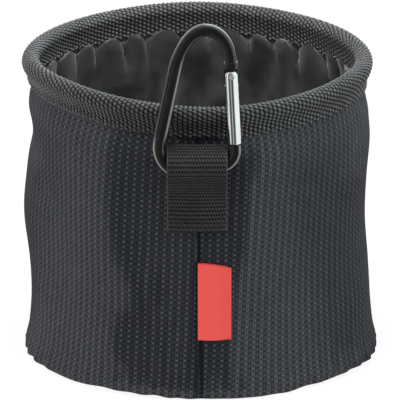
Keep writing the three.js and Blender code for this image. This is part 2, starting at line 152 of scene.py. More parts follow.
class Graph:
    """One node tree, of a material or of the world, with its output node."""

    def __init__(self, tree: bpy.types.NodeTree, output: str) -> None:
        """Empties the tree and adds the output.

        Args:
            tree: The tree to build in.
            output: The output node's type.
        """
        self.tree = tree
        tree.nodes.clear()
        self.output = tree.nodes.new(output)

    def node(self, kind: str, settings: dict[str, Any] | None = None,
             inputs: dict[Any, Any] | None = None) -> bpy.types.Node:
        """Adds a node.

        Args:
            kind: The node's type.
            settings: Its own settings, which are set first.
            inputs: Values or links of its sockets, by name or number.

        Returns:
            The new node.
        """
        made = self.tree.nodes.new(kind)
        for name, value in (settings or {}).items():
            setattr(made, name, value)
        for key, value in (inputs or {}).items():
            if isinstance(value, Value):
                self.tree.links.new(value.socket, made.inputs[key])
            elif isinstance(value, Socket):
                self.tree.links.new(value, made.inputs[key])
            else:
                made.inputs[key].default_value = value
        return made

    def value(self, kind: str, settings: dict[str, Any] | None = None,
              inputs: dict[Any, Any] | None = None, output: int | str = 0) -> Value:
        """Adds a node, as above, and gives one of its outputs."""
        return Value(self, self.node(kind, settings, inputs).outputs[output])

    def math(self, operation: str, *values: Operand) -> Value:
        """Adds a Math node on values in their order."""
        return self.value("ShaderNodeMath", {"operation": operation}, dict(enumerate(values)))

    def cloth(self, width: float, length: float) -> tuple[Value, Value]:
        """Metres across and along a piece's cloth, whose whole map has that width and length."""
        across, along, _ = self.parts(self.node("ShaderNodeUVMap", {"uv_map": MAP_NAME}).outputs[0])
        return across * width, along * length

    def parts(self, vector: Socket) -> list[Value]:
        """A vector's three parts."""
        made = self.node("ShaderNodeSeparateXYZ", None, {0: vector})
        return [Value(self, socket) for socket in made.outputs]

    def rays(self, *kinds: str) -> list[Value]:
        """For each kind of ray, 1 while such a ray is followed and 0 otherwise."""
        path = self.node("ShaderNodeLightPath")
        return [Value(self, path.outputs[f"Is {kind} Ray"]) for kind in kinds]

    def noise(self, scale: float, detail: float = 3.0, place: Socket | None = None) -> Value:
        """Noise around one half, with so many blotches in a metre, at a place or else the object's own."""
        spot = place or self.node("ShaderNodeTexCoord").outputs["Object"]
        return self.value("ShaderNodeTexNoise", None, {"Vector": spot, "Scale": scale, "Detail": detail})

    def facing(self) -> Value:
        """How far the surface turns away from the eye: 0 face on, 1 along it."""
        return self.value("ShaderNodeLayerWeight", None, {"Blend": 0.5}, "Facing")

    def mix(self, share: Operand, first: Any, second: Any) -> Socket:
        """Mixes two colours.

        Args:
            share: How much there is of the second.
            first: One colour, or its socket.
            second: The other.

        Returns:
            The mixed colour's socket.
        """
        pair = [(*c, 1.0) if isinstance(c, tuple) else c for c in (first, second)]
        inputs = {0: share, 6: pair[0], 7: pair[1]}
        return self.node("ShaderNodeMix", {"data_type": "RGBA"}, inputs).outputs[2]

    def bump(self, height: Value, depth: float, strength: float = 1.0) -> Socket:
        """Turns a height from 0 to 1, which measures that depth, into a normal."""
        inputs = {"Height": height, "Distance": depth, "Strength": strength}
        return self.node("ShaderNodeBump", None, inputs).outputs[0]

    def surface(self, **sockets: Any) -> None:
        """Adds a Principled shader, with underscores for spaces in its sockets' names, and shows it."""
        inputs = {name.replace("_", " "): value for name, value in sockets.items()}
        self.show(self.node("ShaderNodeBsdfPrincipled", None, inputs))

    def show(self, shader: bpy.types.Node) -> None:
        """Links a shader to the output."""
        self.tree.links.new(shader.outputs[0], self.output.inputs[0])


# Finishes


@dataclass(frozen=True)
class Weave:
    """A lattice of raised bumps, counted over a piece's cloth map."""

    columns: float  # Bumps across the map
    rows: float  # Bumps along the map
    stagger: Stagger  # Which lines are shifted by half a bump
    reach: float = 0.46  # Half a bump's width, as a share of its cell
    slant: float = 0.0  # How far a bump leans over, as a share of its cell

    def heights(self, across: "Array | Value", along: "Array | Value") -> "Array | Value":
        """Relief of the bumps, for a mesh from arrays or for a shader from its values.

        Args:
            across: Places over the map's width, from 0 to 1.
            along: Places over its length, from 0 to 1.

        Returns:
            Heights from 0 to 1.
        """
        a, b = across * self.columns, along * self.rows
        if self.stagger is Stagger.ROWS:
            a, b = b, a
        aside = a % 1 - 0.5
        odd = a % 2 - a % 1
        off = (b + odd * 0.5 + aside * self.slant) % 1 - 0.5
        rest = 1 - (aside * aside + off * off) / self.reach ** 2
        return (rest + abs(rest)) / 2


class Finish(ABC):
    """How one kind of surface looks."""

    name: str  # The material's name
    slot: str  # The record's material slot
    mapped: ClassVar[bool] = False  # Whether it reads the piece's cloth map

    @abstractmethod
    def paint(self, graph: Graph) -> None:
        """Adds the finish's nodes.

        Args:
            graph: The material's graph.
        """

    def material(self) -> bpy.types.Material:
        """The finish as a material, made once.

        Returns:
            The material.
        """
        found = bpy.data.materials.get(self.name)
        if found is None:
            found = bpy.data.materials.new(self.name)
            found.use_nodes = True
            self.paint(Graph(found.node_tree, "ShaderNodeOutputMaterial"))
        return found


@dataclass(frozen=True)
class SpeckledCloth(Finish):
    """Dark dobby cloth: columns of light specks, silky lines that catch the light, and matt hollows with
    painted shade.
    """

    name: str
    width: float  # What the cloth map measures across
    length: float  # What the cloth map measures up
    seam: float = 0.0  # Half width of the shaded crease where the map's edges are sewn; none if 0
    # Distances left of the seam between which the shade beside it fades out
    pucker_width: Span = (1.0 * MM, 6.5 * MM)
    pucker_height: Span = (24 * MM, 60 * MM)  # Heights between which that shade fades out
    column: float = 4.12 * MM  # Distance between columns of specks
    row: float = 2.77 * MM  # Distance between the specks of a column
    lean: float = 0.055  # Sideways run of a column for each metre up
    drift: float = 0.6 * MM  # How far the pattern wanders
    relief: float = 0.14 * MM  # Height of the pattern
    gloss: float = 0.3  # Roughness of the silky yarn's gloss
    silk: float = 0.72  # Weight of that gloss where the yarn is plain
    slot: str = "wall_cloth"
    mapped: ClassVar[bool] = True
    ground: Colour = (0.0150, 0.0168, 0.0219)  # Colour of the plain weave
    blotch: float = 0.86  # How dark its blotches are
    speck: Colour = (0.108, 0.114, 0.128)  # Colour of the specks
    gap: Colour = (0.0048, 0.0054, 0.0074)  # Painted shade in the hollows and dips, and in the seam's crease
    rib: Colour = (0.0225, 0.0245, 0.0300)  # Colour of the fine ribs

    def paint(self, graph: Graph) -> None:
        """Adds the cloth's nodes.

        Args:
            graph: The material's graph.
        """
        across, along = graph.cloth(self.width, self.length)
        drift = (graph.noise(60.0, 2.0) - 0.5) * self.drift
        turn = (across - along * self.lean + drift) * (FULL_TURN / self.column)
        step = (along + drift) * (FULL_TURN / self.row)
        column, row = turn.sine(), step.sine()
        over_column, over_row = column.at_least(0.0), row.at_least(0.0)
        # Specks stand on the columns, hollows lie between these at the same rows, dips at the other rows
        speck = over_column ** 4.0 * over_row ** 2.2
        hollow = (0.4 - column).at_least(0.0).at_most(1.0) * over_row
        dip = over_column ** 2.0 * (-row).at_least(0.0)
        line = over_column ** 5.0 * (0.35 + graph.noise(800.0, 2.0) * 1.3)
        yarn = (turn * 3).sine() * 0.5 + (step * 2).sine() * 0.2
        worn = graph.noise(230.0, 3.0)
        patch = graph.noise(14.0, 4.0)
        shade = self.seam_shade(across, along) if self.seam else None
        blotch = tuple(self.blotch * c for c in self.ground)
        base = graph.mix(patch.ease(0.25, 0.75), blotch, self.ground)
        base = graph.mix(yarn.at_least(0.0) * 0.9, base, self.rib)
        # Painted shade darkens the hollows and dips
        base = graph.mix(hollow * 0.4 + dip * 0.8, base, self.gap)
        base = graph.mix((speck * (0.5 + worn)).at_most(1.0), base, self.speck)
        silk = (self.silk + line * 0.4) * (1 - hollow * 0.8) * (1 - speck * 0.8) * (0.6 + worn * 0.8)
        silk = silk * (0.95 + yarn * 0.9) * (1 - graph.facing() * 1.05).at_least(0.1)
        if shade is not None:
            base = graph.mix(shade * 0.75, base, self.gap)
            silk = silk * (1 - shade * 0.9)
        height = speck * 0.6 + line * 0.3 - hollow * 0.5 + yarn * 0.06 + graph.noise(900.0, 2.0) * 0.1
        graph.surface(Base_Color=base, Roughness=0.8 - speck * 0.2,
                      Normal=graph.bump(height, self.relief),
                      Coat_Weight=silk.at_most(1.0), Coat_Roughness=self.gloss, Coat_IOR=1.6,
                      Specular_IOR_Level=0.08, Sheen_Weight=0.02, Sheen_Roughness=0.4,
                      Sheen_Tint=(0.85, 0.9, 1.0, 1.0))

    def seam_shade(self, across: Value, along: Value) -> Value:
        """The shade in the seam's crease and in the pucker to the left of it.

        Args:
            across: Distances across the cloth.
            along: Distances up the cloth.

        Returns:
            1 in full shade.
        """
        from_seam = self.width * 0.5 - abs(across - self.width * 0.5)
        sewn = 1 - from_seam.ease(0.2 * self.seam, self.seam)
        beside = 1 - (self.width - across).ease(*self.pucker_width)
        pucker = beside * (1 - along.ease(*self.pucker_height))
        return sewn.at_least(pucker * 0.75)


@dataclass(frozen=True)
class Webbing(Finish):
    """Coarse spun webbing: crowns on the bumps lightened with painted light, painted shade between them."""

    name: str
    slot: str
    weave: Weave  # The bumps, as in the mesh
    crown: Colour = (0.0265, 0.0265, 0.0275)  # Colour on top of a bump, lightened as painted light
    hollow: Colour = (0.0055, 0.0057, 0.0063)  # Painted shade between the bumps
    gloss: float = 1.0  # Weight of the gloss on top of a bump
    # Map places of the two edges along which a painted highlight line runs; none if they are the same
    selvedge: Span = (0.0, 0.0)
    line_at: float = 0.985  # Where that line lies, as a share of half the width
    line_fade: Span = (0.03, 0.01)  # Distances from it, as such shares, between which it comes in
    relief: float = 0.22 * MM  # Height of the bumps' fibres
    mapped: ClassVar[bool] = True

    def paint(self, graph: Graph) -> None:
        """Adds the webbing's nodes.

        Args:
            graph: The material's graph.
        """
        across, along = graph.cloth(1.0, 1.0)
        bumps = self.weave.heights(across, along)
        fibres = graph.noise(2600.0, 2.0)
        worn = graph.noise(120.0, 3.0)
        # Painted light on the crowns of the bumps, against painted shade in the hollows between them
        crown = bumps.ease(0.1, 0.65) * (0.45 + worn * 0.7) * (0.6 + fibres * 0.6)
        # A painted highlight line along both edges
        first, last = self.selvedge
        if last > first:
            middle, half = (first + last) / 2, (last - first) / 2
            off_line = abs(abs(across - middle) - half * self.line_at)
            edge = off_line.ease(*(half * share for share in self.line_fade))
            crown = crown.at_least(edge * 0.9)
        height = bumps + fibres * 0.22
        graph.surface(Base_Color=graph.mix(crown.at_most(1.0), self.hollow, self.crown),
                      Roughness=0.75 - crown * 0.15, Normal=graph.bump(height, self.relief),
                      Coat_Weight=((crown * 0.95 + 0.03) * self.gloss).at_most(1.0),
                      Coat_Roughness=0.4, Coat_IOR=2.25,
                      Specular_IOR_Level=0.12, Sheen_Weight=0.02, Sheen_Roughness=0.4)


@dataclass(frozen=True)
class Lining(Finish):
    """Thin smooth lining with a silky surface and fine creases darkened with painted shade."""

    name: str = "lining_nylon"
    slot: str = "lining_cloth"
    mapped: ClassVar[bool] = True
    colour: Colour = (0.028, 0.0284, 0.0290)
    crease: Colour = (0.010, 0.0102, 0.0106)  # Painted shade in the creases
    relief: float = 1.1 * MM  # Depth of the creases

    def paint(self, graph: Graph) -> None:
        """Adds the lining's nodes.

        Args:
            graph: The material's graph.
        """
        creases = graph.noise(75.0, 5.0)
        yarn = graph.noise(1700.0, 1.0)
        # Painted shade darkens the creases
        base = graph.mix(creases.ease(0.3, 0.62), self.crease, self.colour)
        graph.surface(Base_Color=base, Roughness=0.36 + yarn * 0.16,
                      Normal=graph.bump(creases + yarn * 0.08, self.relief, 0.6),
                      Specular_IOR_Level=0.3, Sheen_Weight=0.1, Sheen_Roughness=0.4,
                      Coat_Weight=0.42, Coat_Roughness=0.3, Coat_IOR=2.1)


@dataclass(frozen=True)
class Ribbon(Finish):
    """Red satin ribbon: fine ribs across it, a little darker along its edges, with painted shade towards the
    fold.
    """

    width: float  # What the ribbon measures round the fold
    height: float  # What it measures up
    face: float  # Share of the cloth map across that one face takes; the other starts half way
    rib: float = 0.42 * MM  # Distance between the ribs
    weft: float = 0.5 * MM  # Distance between the threads across them
    edge: float = 0.9 * MM  # Width of the darker edges
    fold: Span = (0.28, 0.38)  # Shares of the width between which painted shade comes in over the front's right part; it stays over the fold and the back
    relief: float = 0.06 * MM  # Height of the ribs
    name: str = "label_satin"
    slot: str = "label_ribbon"
    mapped: ClassVar[bool] = True
    colour: Colour = (0.81, 0.086, 0.072)
    shade: Colour = (0.52, 0.036, 0.032)  # Colour in the shade

    def paint(self, graph: Graph) -> None:
        """Adds the ribbon's nodes.

        Args:
            graph: The material's graph.
        """
        place, around = graph.cloth(1.0, self.width)
        up = place * 2 % 1 * (self.height / self.face / 2)
        ribs = (up * (FULL_TURN / self.rib)).sine()
        weft = (around * (FULL_TURN / self.weft)).sine()
        edge = 1 - up.at_most(self.height - up).ease(0.0, self.edge)
        patch = graph.noise(160.0, 3.0)
        # Painted shade over the front's right part, the fold and the back
        turned = around.ease(*(share * self.width for share in self.fold))
        dark = patch.ease(0.4, 0.85) * 0.1 + edge * 0.4 + turned * 0.14
        height = ribs * 0.3 + ribs * weft * 0.2 + edge * 0.3 + patch * 0.3
        graph.surface(Base_Color=graph.mix(dark, self.colour, self.shade), Roughness=0.55 + patch * 0.12,
                      Normal=graph.bump(height, self.relief),
                      Specular_IOR_Level=0.35, Sheen_Weight=0.12, Sheen_Roughness=0.4)


@dataclass(frozen=True)
class BlackAnodised(Finish):
    """Black anodised metal, satin, with a painted highlight of bare metal along the edges that the mesh
    marks.
    """

    name: str = "anodised_black"
    slot: str = "black_metal"
    mark: ClassVar[str] = "rubbed"  # Name of the mesh's own values that say how strong the painted highlight is
    colour: Colour = (0.0055, 0.0053, 0.0050)
    hazy: Colour = (0.018, 0.0175, 0.0165)  # Colour in cloudy patches
    highlight_metal: Colour = (0.42, 0.41, 0.39)  # The metal's own colour, laid on as painted highlight
    relief: float = 0.008 * MM  # Height of the grain

    def paint(self, graph: Graph) -> None:
        """Adds the metal's nodes.

        Args:
            graph: The material's graph.
        """
        cloudy = graph.noise(90.0, 4.0)
        fine = graph.noise(1500.0, 3.0)
        base = graph.mix(cloudy.ease(0.52, 0.85) * 0.4, self.colour, self.hazy)
        marked = graph.value("ShaderNodeAttribute", {"attribute_name": self.mark}, None, "Fac")
        # Painted highlight: bare metal along the marked edges
        rubbed = (marked * (0.7 + fine * 0.6)).at_most(1.0)
        graph.surface(Base_Color=graph.mix(rubbed, base, self.highlight_metal), Metallic=rubbed,
                      Roughness=0.14 + fine * 0.08 + cloudy * 0.05 + rubbed * 0.08, IOR=1.65,
                      Normal=graph.bump(fine, self.relief))


@dataclass(frozen=True)
class BareMetal(Finish):
    """Bright metal with fine drawing lines."""

    name: str
    slot: str
    colour: Colour  # Its reflection's colour
    roughness: float  # How much it blurs a reflection
    dull: float = 0.72  # How dark its hazy patches are
    stretch: Place = (1.0, 1.0, 0.04)  # How the noise is drawn out along the piece
    relief: float = 0.01 * MM  # Height of the lines

    def paint(self, graph: Graph) -> None:
        """Adds the metal's nodes.

        Args:
            graph: The material's graph.
        """
        spot = graph.node("ShaderNodeTexCoord").outputs["Object"]
        drawn = graph.node("ShaderNodeMapping", None, {"Vector": spot, "Scale": self.stretch})
        lines = graph.noise(700.0, 3.0, drawn.outputs[0])
        haze = graph.noise(130.0, 3.0)
        dulled = tuple(self.dull * c for c in self.colour)
        graph.surface(Base_Color=graph.mix(haze.ease(0.5, 0.9) * 0.35, self.colour, dulled), Metallic=1.0,
                      Roughness=self.roughness * 0.7 + lines * self.roughness * 0.6,
                      Normal=graph.bump(lines, self.relief))


@dataclass(frozen=True)
class Thread(Finish):
    """Twisted sewing thread."""

    name: str
    slot: str
    colour: Colour
    pale: float = 1.5  # How much lighter its strands are
    relief: float = 0.05 * MM  # Height of the strands

    def paint(self, graph: Graph) -> None:
        """Adds the thread's nodes.

        Args:
            graph: The material's graph.
        """
        twist = graph.noise(2400.0, 2.0)
        pale = tuple(self.pale * c for c in self.colour)
        graph.surface(Base_Color=graph.mix(twist, self.colour, pale), Roughness=0.5 + twist * 0.2,
                      Normal=graph.bump(twist, self.relief), Sheen_Weight=0.3)


# Mesh building


def ease(values: Array, low: float, high: float) -> Array:
    """A smooth step over an array, from 0 at low to 1 at high."""
    t = np.clip((np.asarray(values, float) - low) / (high - low), 0, 1)
    return t * t * (3 - 2 * t)


def arc(centre: Span, radius: float, start: float, end: float, steps: int) -> Array:
    """Points on an arc, as rows, from one angle in degrees to another in so many steps."""
    angle = np.radians(np.linspace(start, end, steps + 1))
    return np.stack([centre[0] + radius * np.cos(angle), centre[1] + radius * np.sin(angle)], 1)


def turns(count: int) -> Array:
    """Angles spread evenly over a full turn."""
    return np.linspace(0, FULL_TURN, count, endpoint=False)


def run_lengths(path: Array) -> Array:
    """Distance from a path's start to each of its points."""
    steps = np.linalg.norm(np.diff(path, axis=0), axis=1)
    return np.concatenate([[0.0], np.cumsum(steps)])


def respaced(path: Array, count: int) -> Array:
    """A path with so many evenly spaced points, as rows."""
    along = run_lengths(path)
    return np.stack([np.interp(np.linspace(0, along[-1], count), along, part) for part in path.T], 1)


def side_ways(path: Array) -> Array:
    """Unit vectors square to a flat path, to the right of its way."""
    way = np.gradient(path, axis=0)
    return np.stack([way[:, 1], -way[:, 0]], 1) / np.linalg.norm(way, axis=1, keepdims=True)


def moved_aside(path: Array, aside: Array) -> tuple[Array, Array]:
    """Rows by columns of both coordinates of a flat path's copies, that far to the right of its way."""
    out = side_ways(path)
    return path[:, :1] + out[:, :1] * aside, path[:, 1:] + out[:, 1:] * aside


def joined(*parts: Array) -> Array:
    """Points from their coordinates, which are first spread to one shape."""
    return np.stack(np.broadcast_arrays(*parts), -1)


def bend(start: Array, leave: Array, end: Array, arrive: Array, pulls: Span) -> Array:
    """A smooth bend between two points.

    Args:
        start: Where it starts.
        leave: Its way there.
        end: Where it ends.
        arrive: Its way there.
        pulls: How long it keeps each way.

    Returns:
        Points as rows.
    """
    t = np.linspace(0, 1, 40)[:, None]
    controls = (start, start + leave * pulls[0], end - arrive * pulls[1], end)
    weights = ((1 - t) ** 3, 3 * t * (1 - t) ** 2, 3 * t ** 2 * (1 - t), t ** 3)
    return sum(w * c for w, c in zip(weights, controls))


def rounded_box(width: float, height: float, edge: float, steps: int = 6) -> Array:
    """A rectangle with round corners, anticlockwise.

    Args:
        width: Its width.
        height: Its height.
        edge: Its corner radius.
        steps: Steps in a corner.

    Returns:
        Points as rows of two numbers.
    """
    x, y = width / 2 - edge, height / 2 - edge
    corners = (((x, -y), -90), ((x, y), 0), ((-x, y), 90), ((-x, -y), 180))
    return np.concatenate([arc(centre, edge, start, start + 90, steps) for centre, start in corners])


def add_object(name: str, data: bpy.types.ID) -> Piece:
    """Puts a new object in the scene.

    Args:
        name: Its name.
        data: Its mesh, light or camera.

    Returns:
        The object.
    """
    made = bpy.data.objects.new(name, data)
    bpy.context.scene.collection.objects.link(made)
    return made


def smooth(mesh: bpy.types.Mesh, crease: float) -> None:
    """Shades a mesh smooth, but for edges that turn by more than that many degrees."""
    mesh.shade_smooth()
    mesh.set_sharp_from_angle(angle=math.radians(crease))


@dataclass
class Skin:
    """A grid of points that becomes one closed mesh with a cloth map."""

    points: Array  # Rows by columns by three numbers
    ring: bool = False  # Whether the last row joins the first; otherwise both end rows are capped
    up: Array | None = None  # Map heights of the rows, with one more for a ring; even if none is given
    # Map places of the columns, with one more for where they join; even if none is given
    across: Array | None = None

    def build(self, name: str) -> Piece:
        """Makes the mesh, with its columns always joined round.

        Args:
            name: The new object's name.

        Returns:
            The object, with smooth faces that point out.
        """
        rows, columns = self.points.shape[:2]
        up = np.linspace(0, 1, rows + self.ring) if self.up is None else self.up
        across = np.linspace(0, 1, columns + 1) if self.across is None else self.across
        maps = [np.stack([across[c], up[r]], -1) for r, c in self.corners()]
        maps = np.stack(maps, -2).reshape(-1, 2)
        if not self.ring:
            maps = np.concatenate([maps, np.zeros((2 * columns, 2))])
        return self.finish(name, self.points.reshape(-1, 3), self.faces(), maps)

    def corners(self) -> list[tuple[Array, Array]]:
        """The four corners of every quad in turn, as numbers of rows and columns.

        Returns:
            Rows and columns for each corner.
        """
        rows, columns = self.points.shape[:2]
        row, column = np.meshgrid(np.arange(rows - 1 + self.ring), np.arange(columns), indexing="ij")
        return [(row, column), (row, column + 1), (row + 1, column + 1), (row + 1, column)]

    def faces(self) -> list[list[int]]:
        """Each face's points, with the caps last.

        Returns:
            Numbers of points.
        """
        rows, columns = self.points.shape[:2]
        quads = np.stack([r % rows * columns + c % columns for r, c in self.corners()], -1)
        faces = quads.reshape(-1, 4).tolist()
        if not self.ring:
            faces += [list(range(first, first + columns)) for first in (0, (rows - 1) * columns)]
        return faces

    @staticmethod
    def finish(name: str, points: Array, faces: list[list[int]], maps: Array) -> Piece:
        """Turns points and faces into an object.

        Args:
            name: The new object's name.
            points: Points as rows.
            faces: Each face's points.
            maps: Map places of the faces' corners in order.

        Returns:
            The object.
        """
        mesh = bpy.data.meshes.new(name)
        mesh.from_pydata(points.tolist(), [], faces)
        mesh.uv_layers.new(name=MAP_NAME).data.foreach_set("uv", maps.astype(np.float32).ravel())
        work = bmesh.new()
        work.from_mesh(mesh)
        bmesh.ops.recalc_face_normals(work, faces=work.faces)
        work.to_mesh(mesh)
        work.free()
        smooth(mesh, 50)
        return add_object(name, mesh)


def wear(piece: Piece, finish: Finish) -> None:
    """Gives a piece a finish in place of any other."""
    piece.data.materials.clear()
    piece.data.materials.append(finish.material())


def settle(piece: Piece, finish: Finish, body: Body | None, *nodes: str) -> Piece:
    """Gives a piece its finish and its place in the frame, and reports it.

    Args:
        piece: The piece.
        finish: Its finish.
        body: The body that it rides on; none if it is left without one.
        nodes: Frame nodes that it stands for.

    Returns:
        The piece.
    """
    wear(piece, finish)
    if not finish.mapped:
        for layer in list(piece.data.uv_layers):
            piece.data.uv_layers.remove(layer)
    if body is not None:
        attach(piece, body.value)
    if nodes:
        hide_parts(*nodes)
    LOG.info("%s: %d faces, %s", piece.name, len(piece.data.polygons), finish.name)
    return piece


def dress_node(node: str, finish: Finish) -> None:
    """Gives a frame node a finish.

    Args:
        node: The node's name.
        finish: Its finish.
    """
    piece = frame["nodes"][node]
    wear(piece, finish)
    smooth(piece.data, 40)
    LOG.info("%s: frame node, %s", node, finish.name)


def joint(name: str) -> dict[str, Any]:
    """The frame's joint of that name."""
    return next(j for j in frame["joints"] if j["name"] == name)


@dataclass
class Stitching:
    """A run of stitches, each a short arched tube."""

    thread: float = 0.26 * MM  # Half the thread's thickness
    rise: float = 0.3 * MM  # How far a stitch's middle stands up
    sink: float = 0.6  # How deep its ends lie, as a share of that
    tip: float = 0.35  # Thickness of its ends, as a share of the middle's
    sides: int = 6  # Sides of the tube
    rings: int = 6  # Rings along a stitch
    points: list[Array] = field(default_factory=list)  # Rings by sides of points, for each stitch so far

    def add(self, start: Array, end: Array, out: Array) -> None:
        """Adds a stitch.

        Args:
            start: Where it comes out of the cloth.
            end: Where it goes in again.
            out: The way that the cloth faces.
        """
        share = np.linspace(0, 1, self.rings)[:, None]
        lift = np.sin(share * math.pi)
        line = start + (end - start) * share + out * self.rise * (2 * lift - self.sink)
        way = (end - start) / np.linalg.norm(end - start)
        across = np.cross(way, out)
        angle = turns(self.sides)
        ring = np.cos(angle)[:, None] * across + np.sin(angle)[:, None] * out
        thick = self.thread * (self.tip + (1 - self.tip) * np.sqrt(lift))
        self.points.append(line[:, None, :] + ring[None] * thick[:, :, None])

    def build(self, name: str) -> Piece:
        """Makes one mesh of all the stitches.

        Args:
            name: The new object's name.

        Returns:
            The object.
        """
        faces, count = Skin(self.points[0]).faces(), self.rings * self.sides
        faces = [[point + first for point in face]
                 for first in range(0, count * len(self.points), count) for face in faces]
        points = np.concatenate([p.reshape(-1, 3) for p in self.points])
        return Skin.finish(name, points, faces, np.zeros((sum(map(len, faces)), 2)))


# The bag


@dataclass(frozen=True)
class Fold:
    """A soft swell of the wall, or a hollow where its depth is negative. Lengths are in millimetres."""

    angle: float  # Degrees round from the front
    height: float  # Height of its middle
    spread: float  # Half its width in degrees
    rise: float  # Half its height
    depth: float  # How far out it reaches
    slant: float = 0.0  # Degrees that it turns for each metre up

    def reach(self, angle: Array, height: Array) -> Array:
        """How far the fold moves the wall out.

        Args:
            angle: Angles in radians.
            height: Heights.

        Returns:
            Distances.
        """
        above = height - self.height * MM
        middle = np.radians(self.angle + self.slant * above)
        aside = (angle - middle + math.pi) % FULL_TURN - math.pi
        width = aside / math.radians(self.spread)
        return self.depth * MM * np.exp(-width ** 2 - (above / (self.rise * MM)) ** 2)


WALL_FOLDS = (
    Fold(-90, 74, 26, 20, 3.0),
    Fold(-92, 116, 30, 11, -3.0),
    Fold(90, 70, 28, 22, -1.8),
    Fold(88, 112, 26, 12, 1.0),
    Fold(-31, 96, 10, 40, 2.6, -40),
    Fold(-20, 57, 8, 15, 2.6),
    Fold(-29, 26, 9, 15, 2.2),
    Fold(-58, 62, 13, 50, -1.8, -90),
    Fold(17, 96, 9, 32, 2.5, 40),
    Fold(33, 46, 18, 36, -2.8),
    Fold(27, 126, 9, 13, 2.2),
    Fold(-62, 96, 9, 9, -1.3, 300),
    Fold(-70, 40, 10, 12, 1.2, -300),
    Fold(66, 100, 10, 10, 1.1, -260),
    Fold(70, 40, 11, 14, 1.2, 260),
    Fold(46, 96, 13, 40, -2.2, 60),
    Fold(52, 122, 12, 16, 0.9),
    Fold(-48, 122, 10, 15, 1.2),
    Fold(128, 80, 16, 52, 2.0, -50),
    Fold(152, 66, 13, 46, -1.7, 60),
    Fold(-130, 76, 15, 50, 1.9, 50),
    Fold(-158, 70, 14, 50, -1.6, -40),
    Fold(178, 92, 15, 36, 1.5, 40),
)

# Widths of the lining's puckers in turn, as shares of the whole row
PUFF_WIDTHS = (15, 7.3, 8.7, 12, 9.5, 13.5, 8, 16, 10, 12.5, 7.5, 14, 9, 11, 15.5, 8.5,
               12, 10.5, 13, 9, 14.5, 8, 11.5, 13, 10, 12.5, 9, 13.5, 10, 15, 9.5, 11)


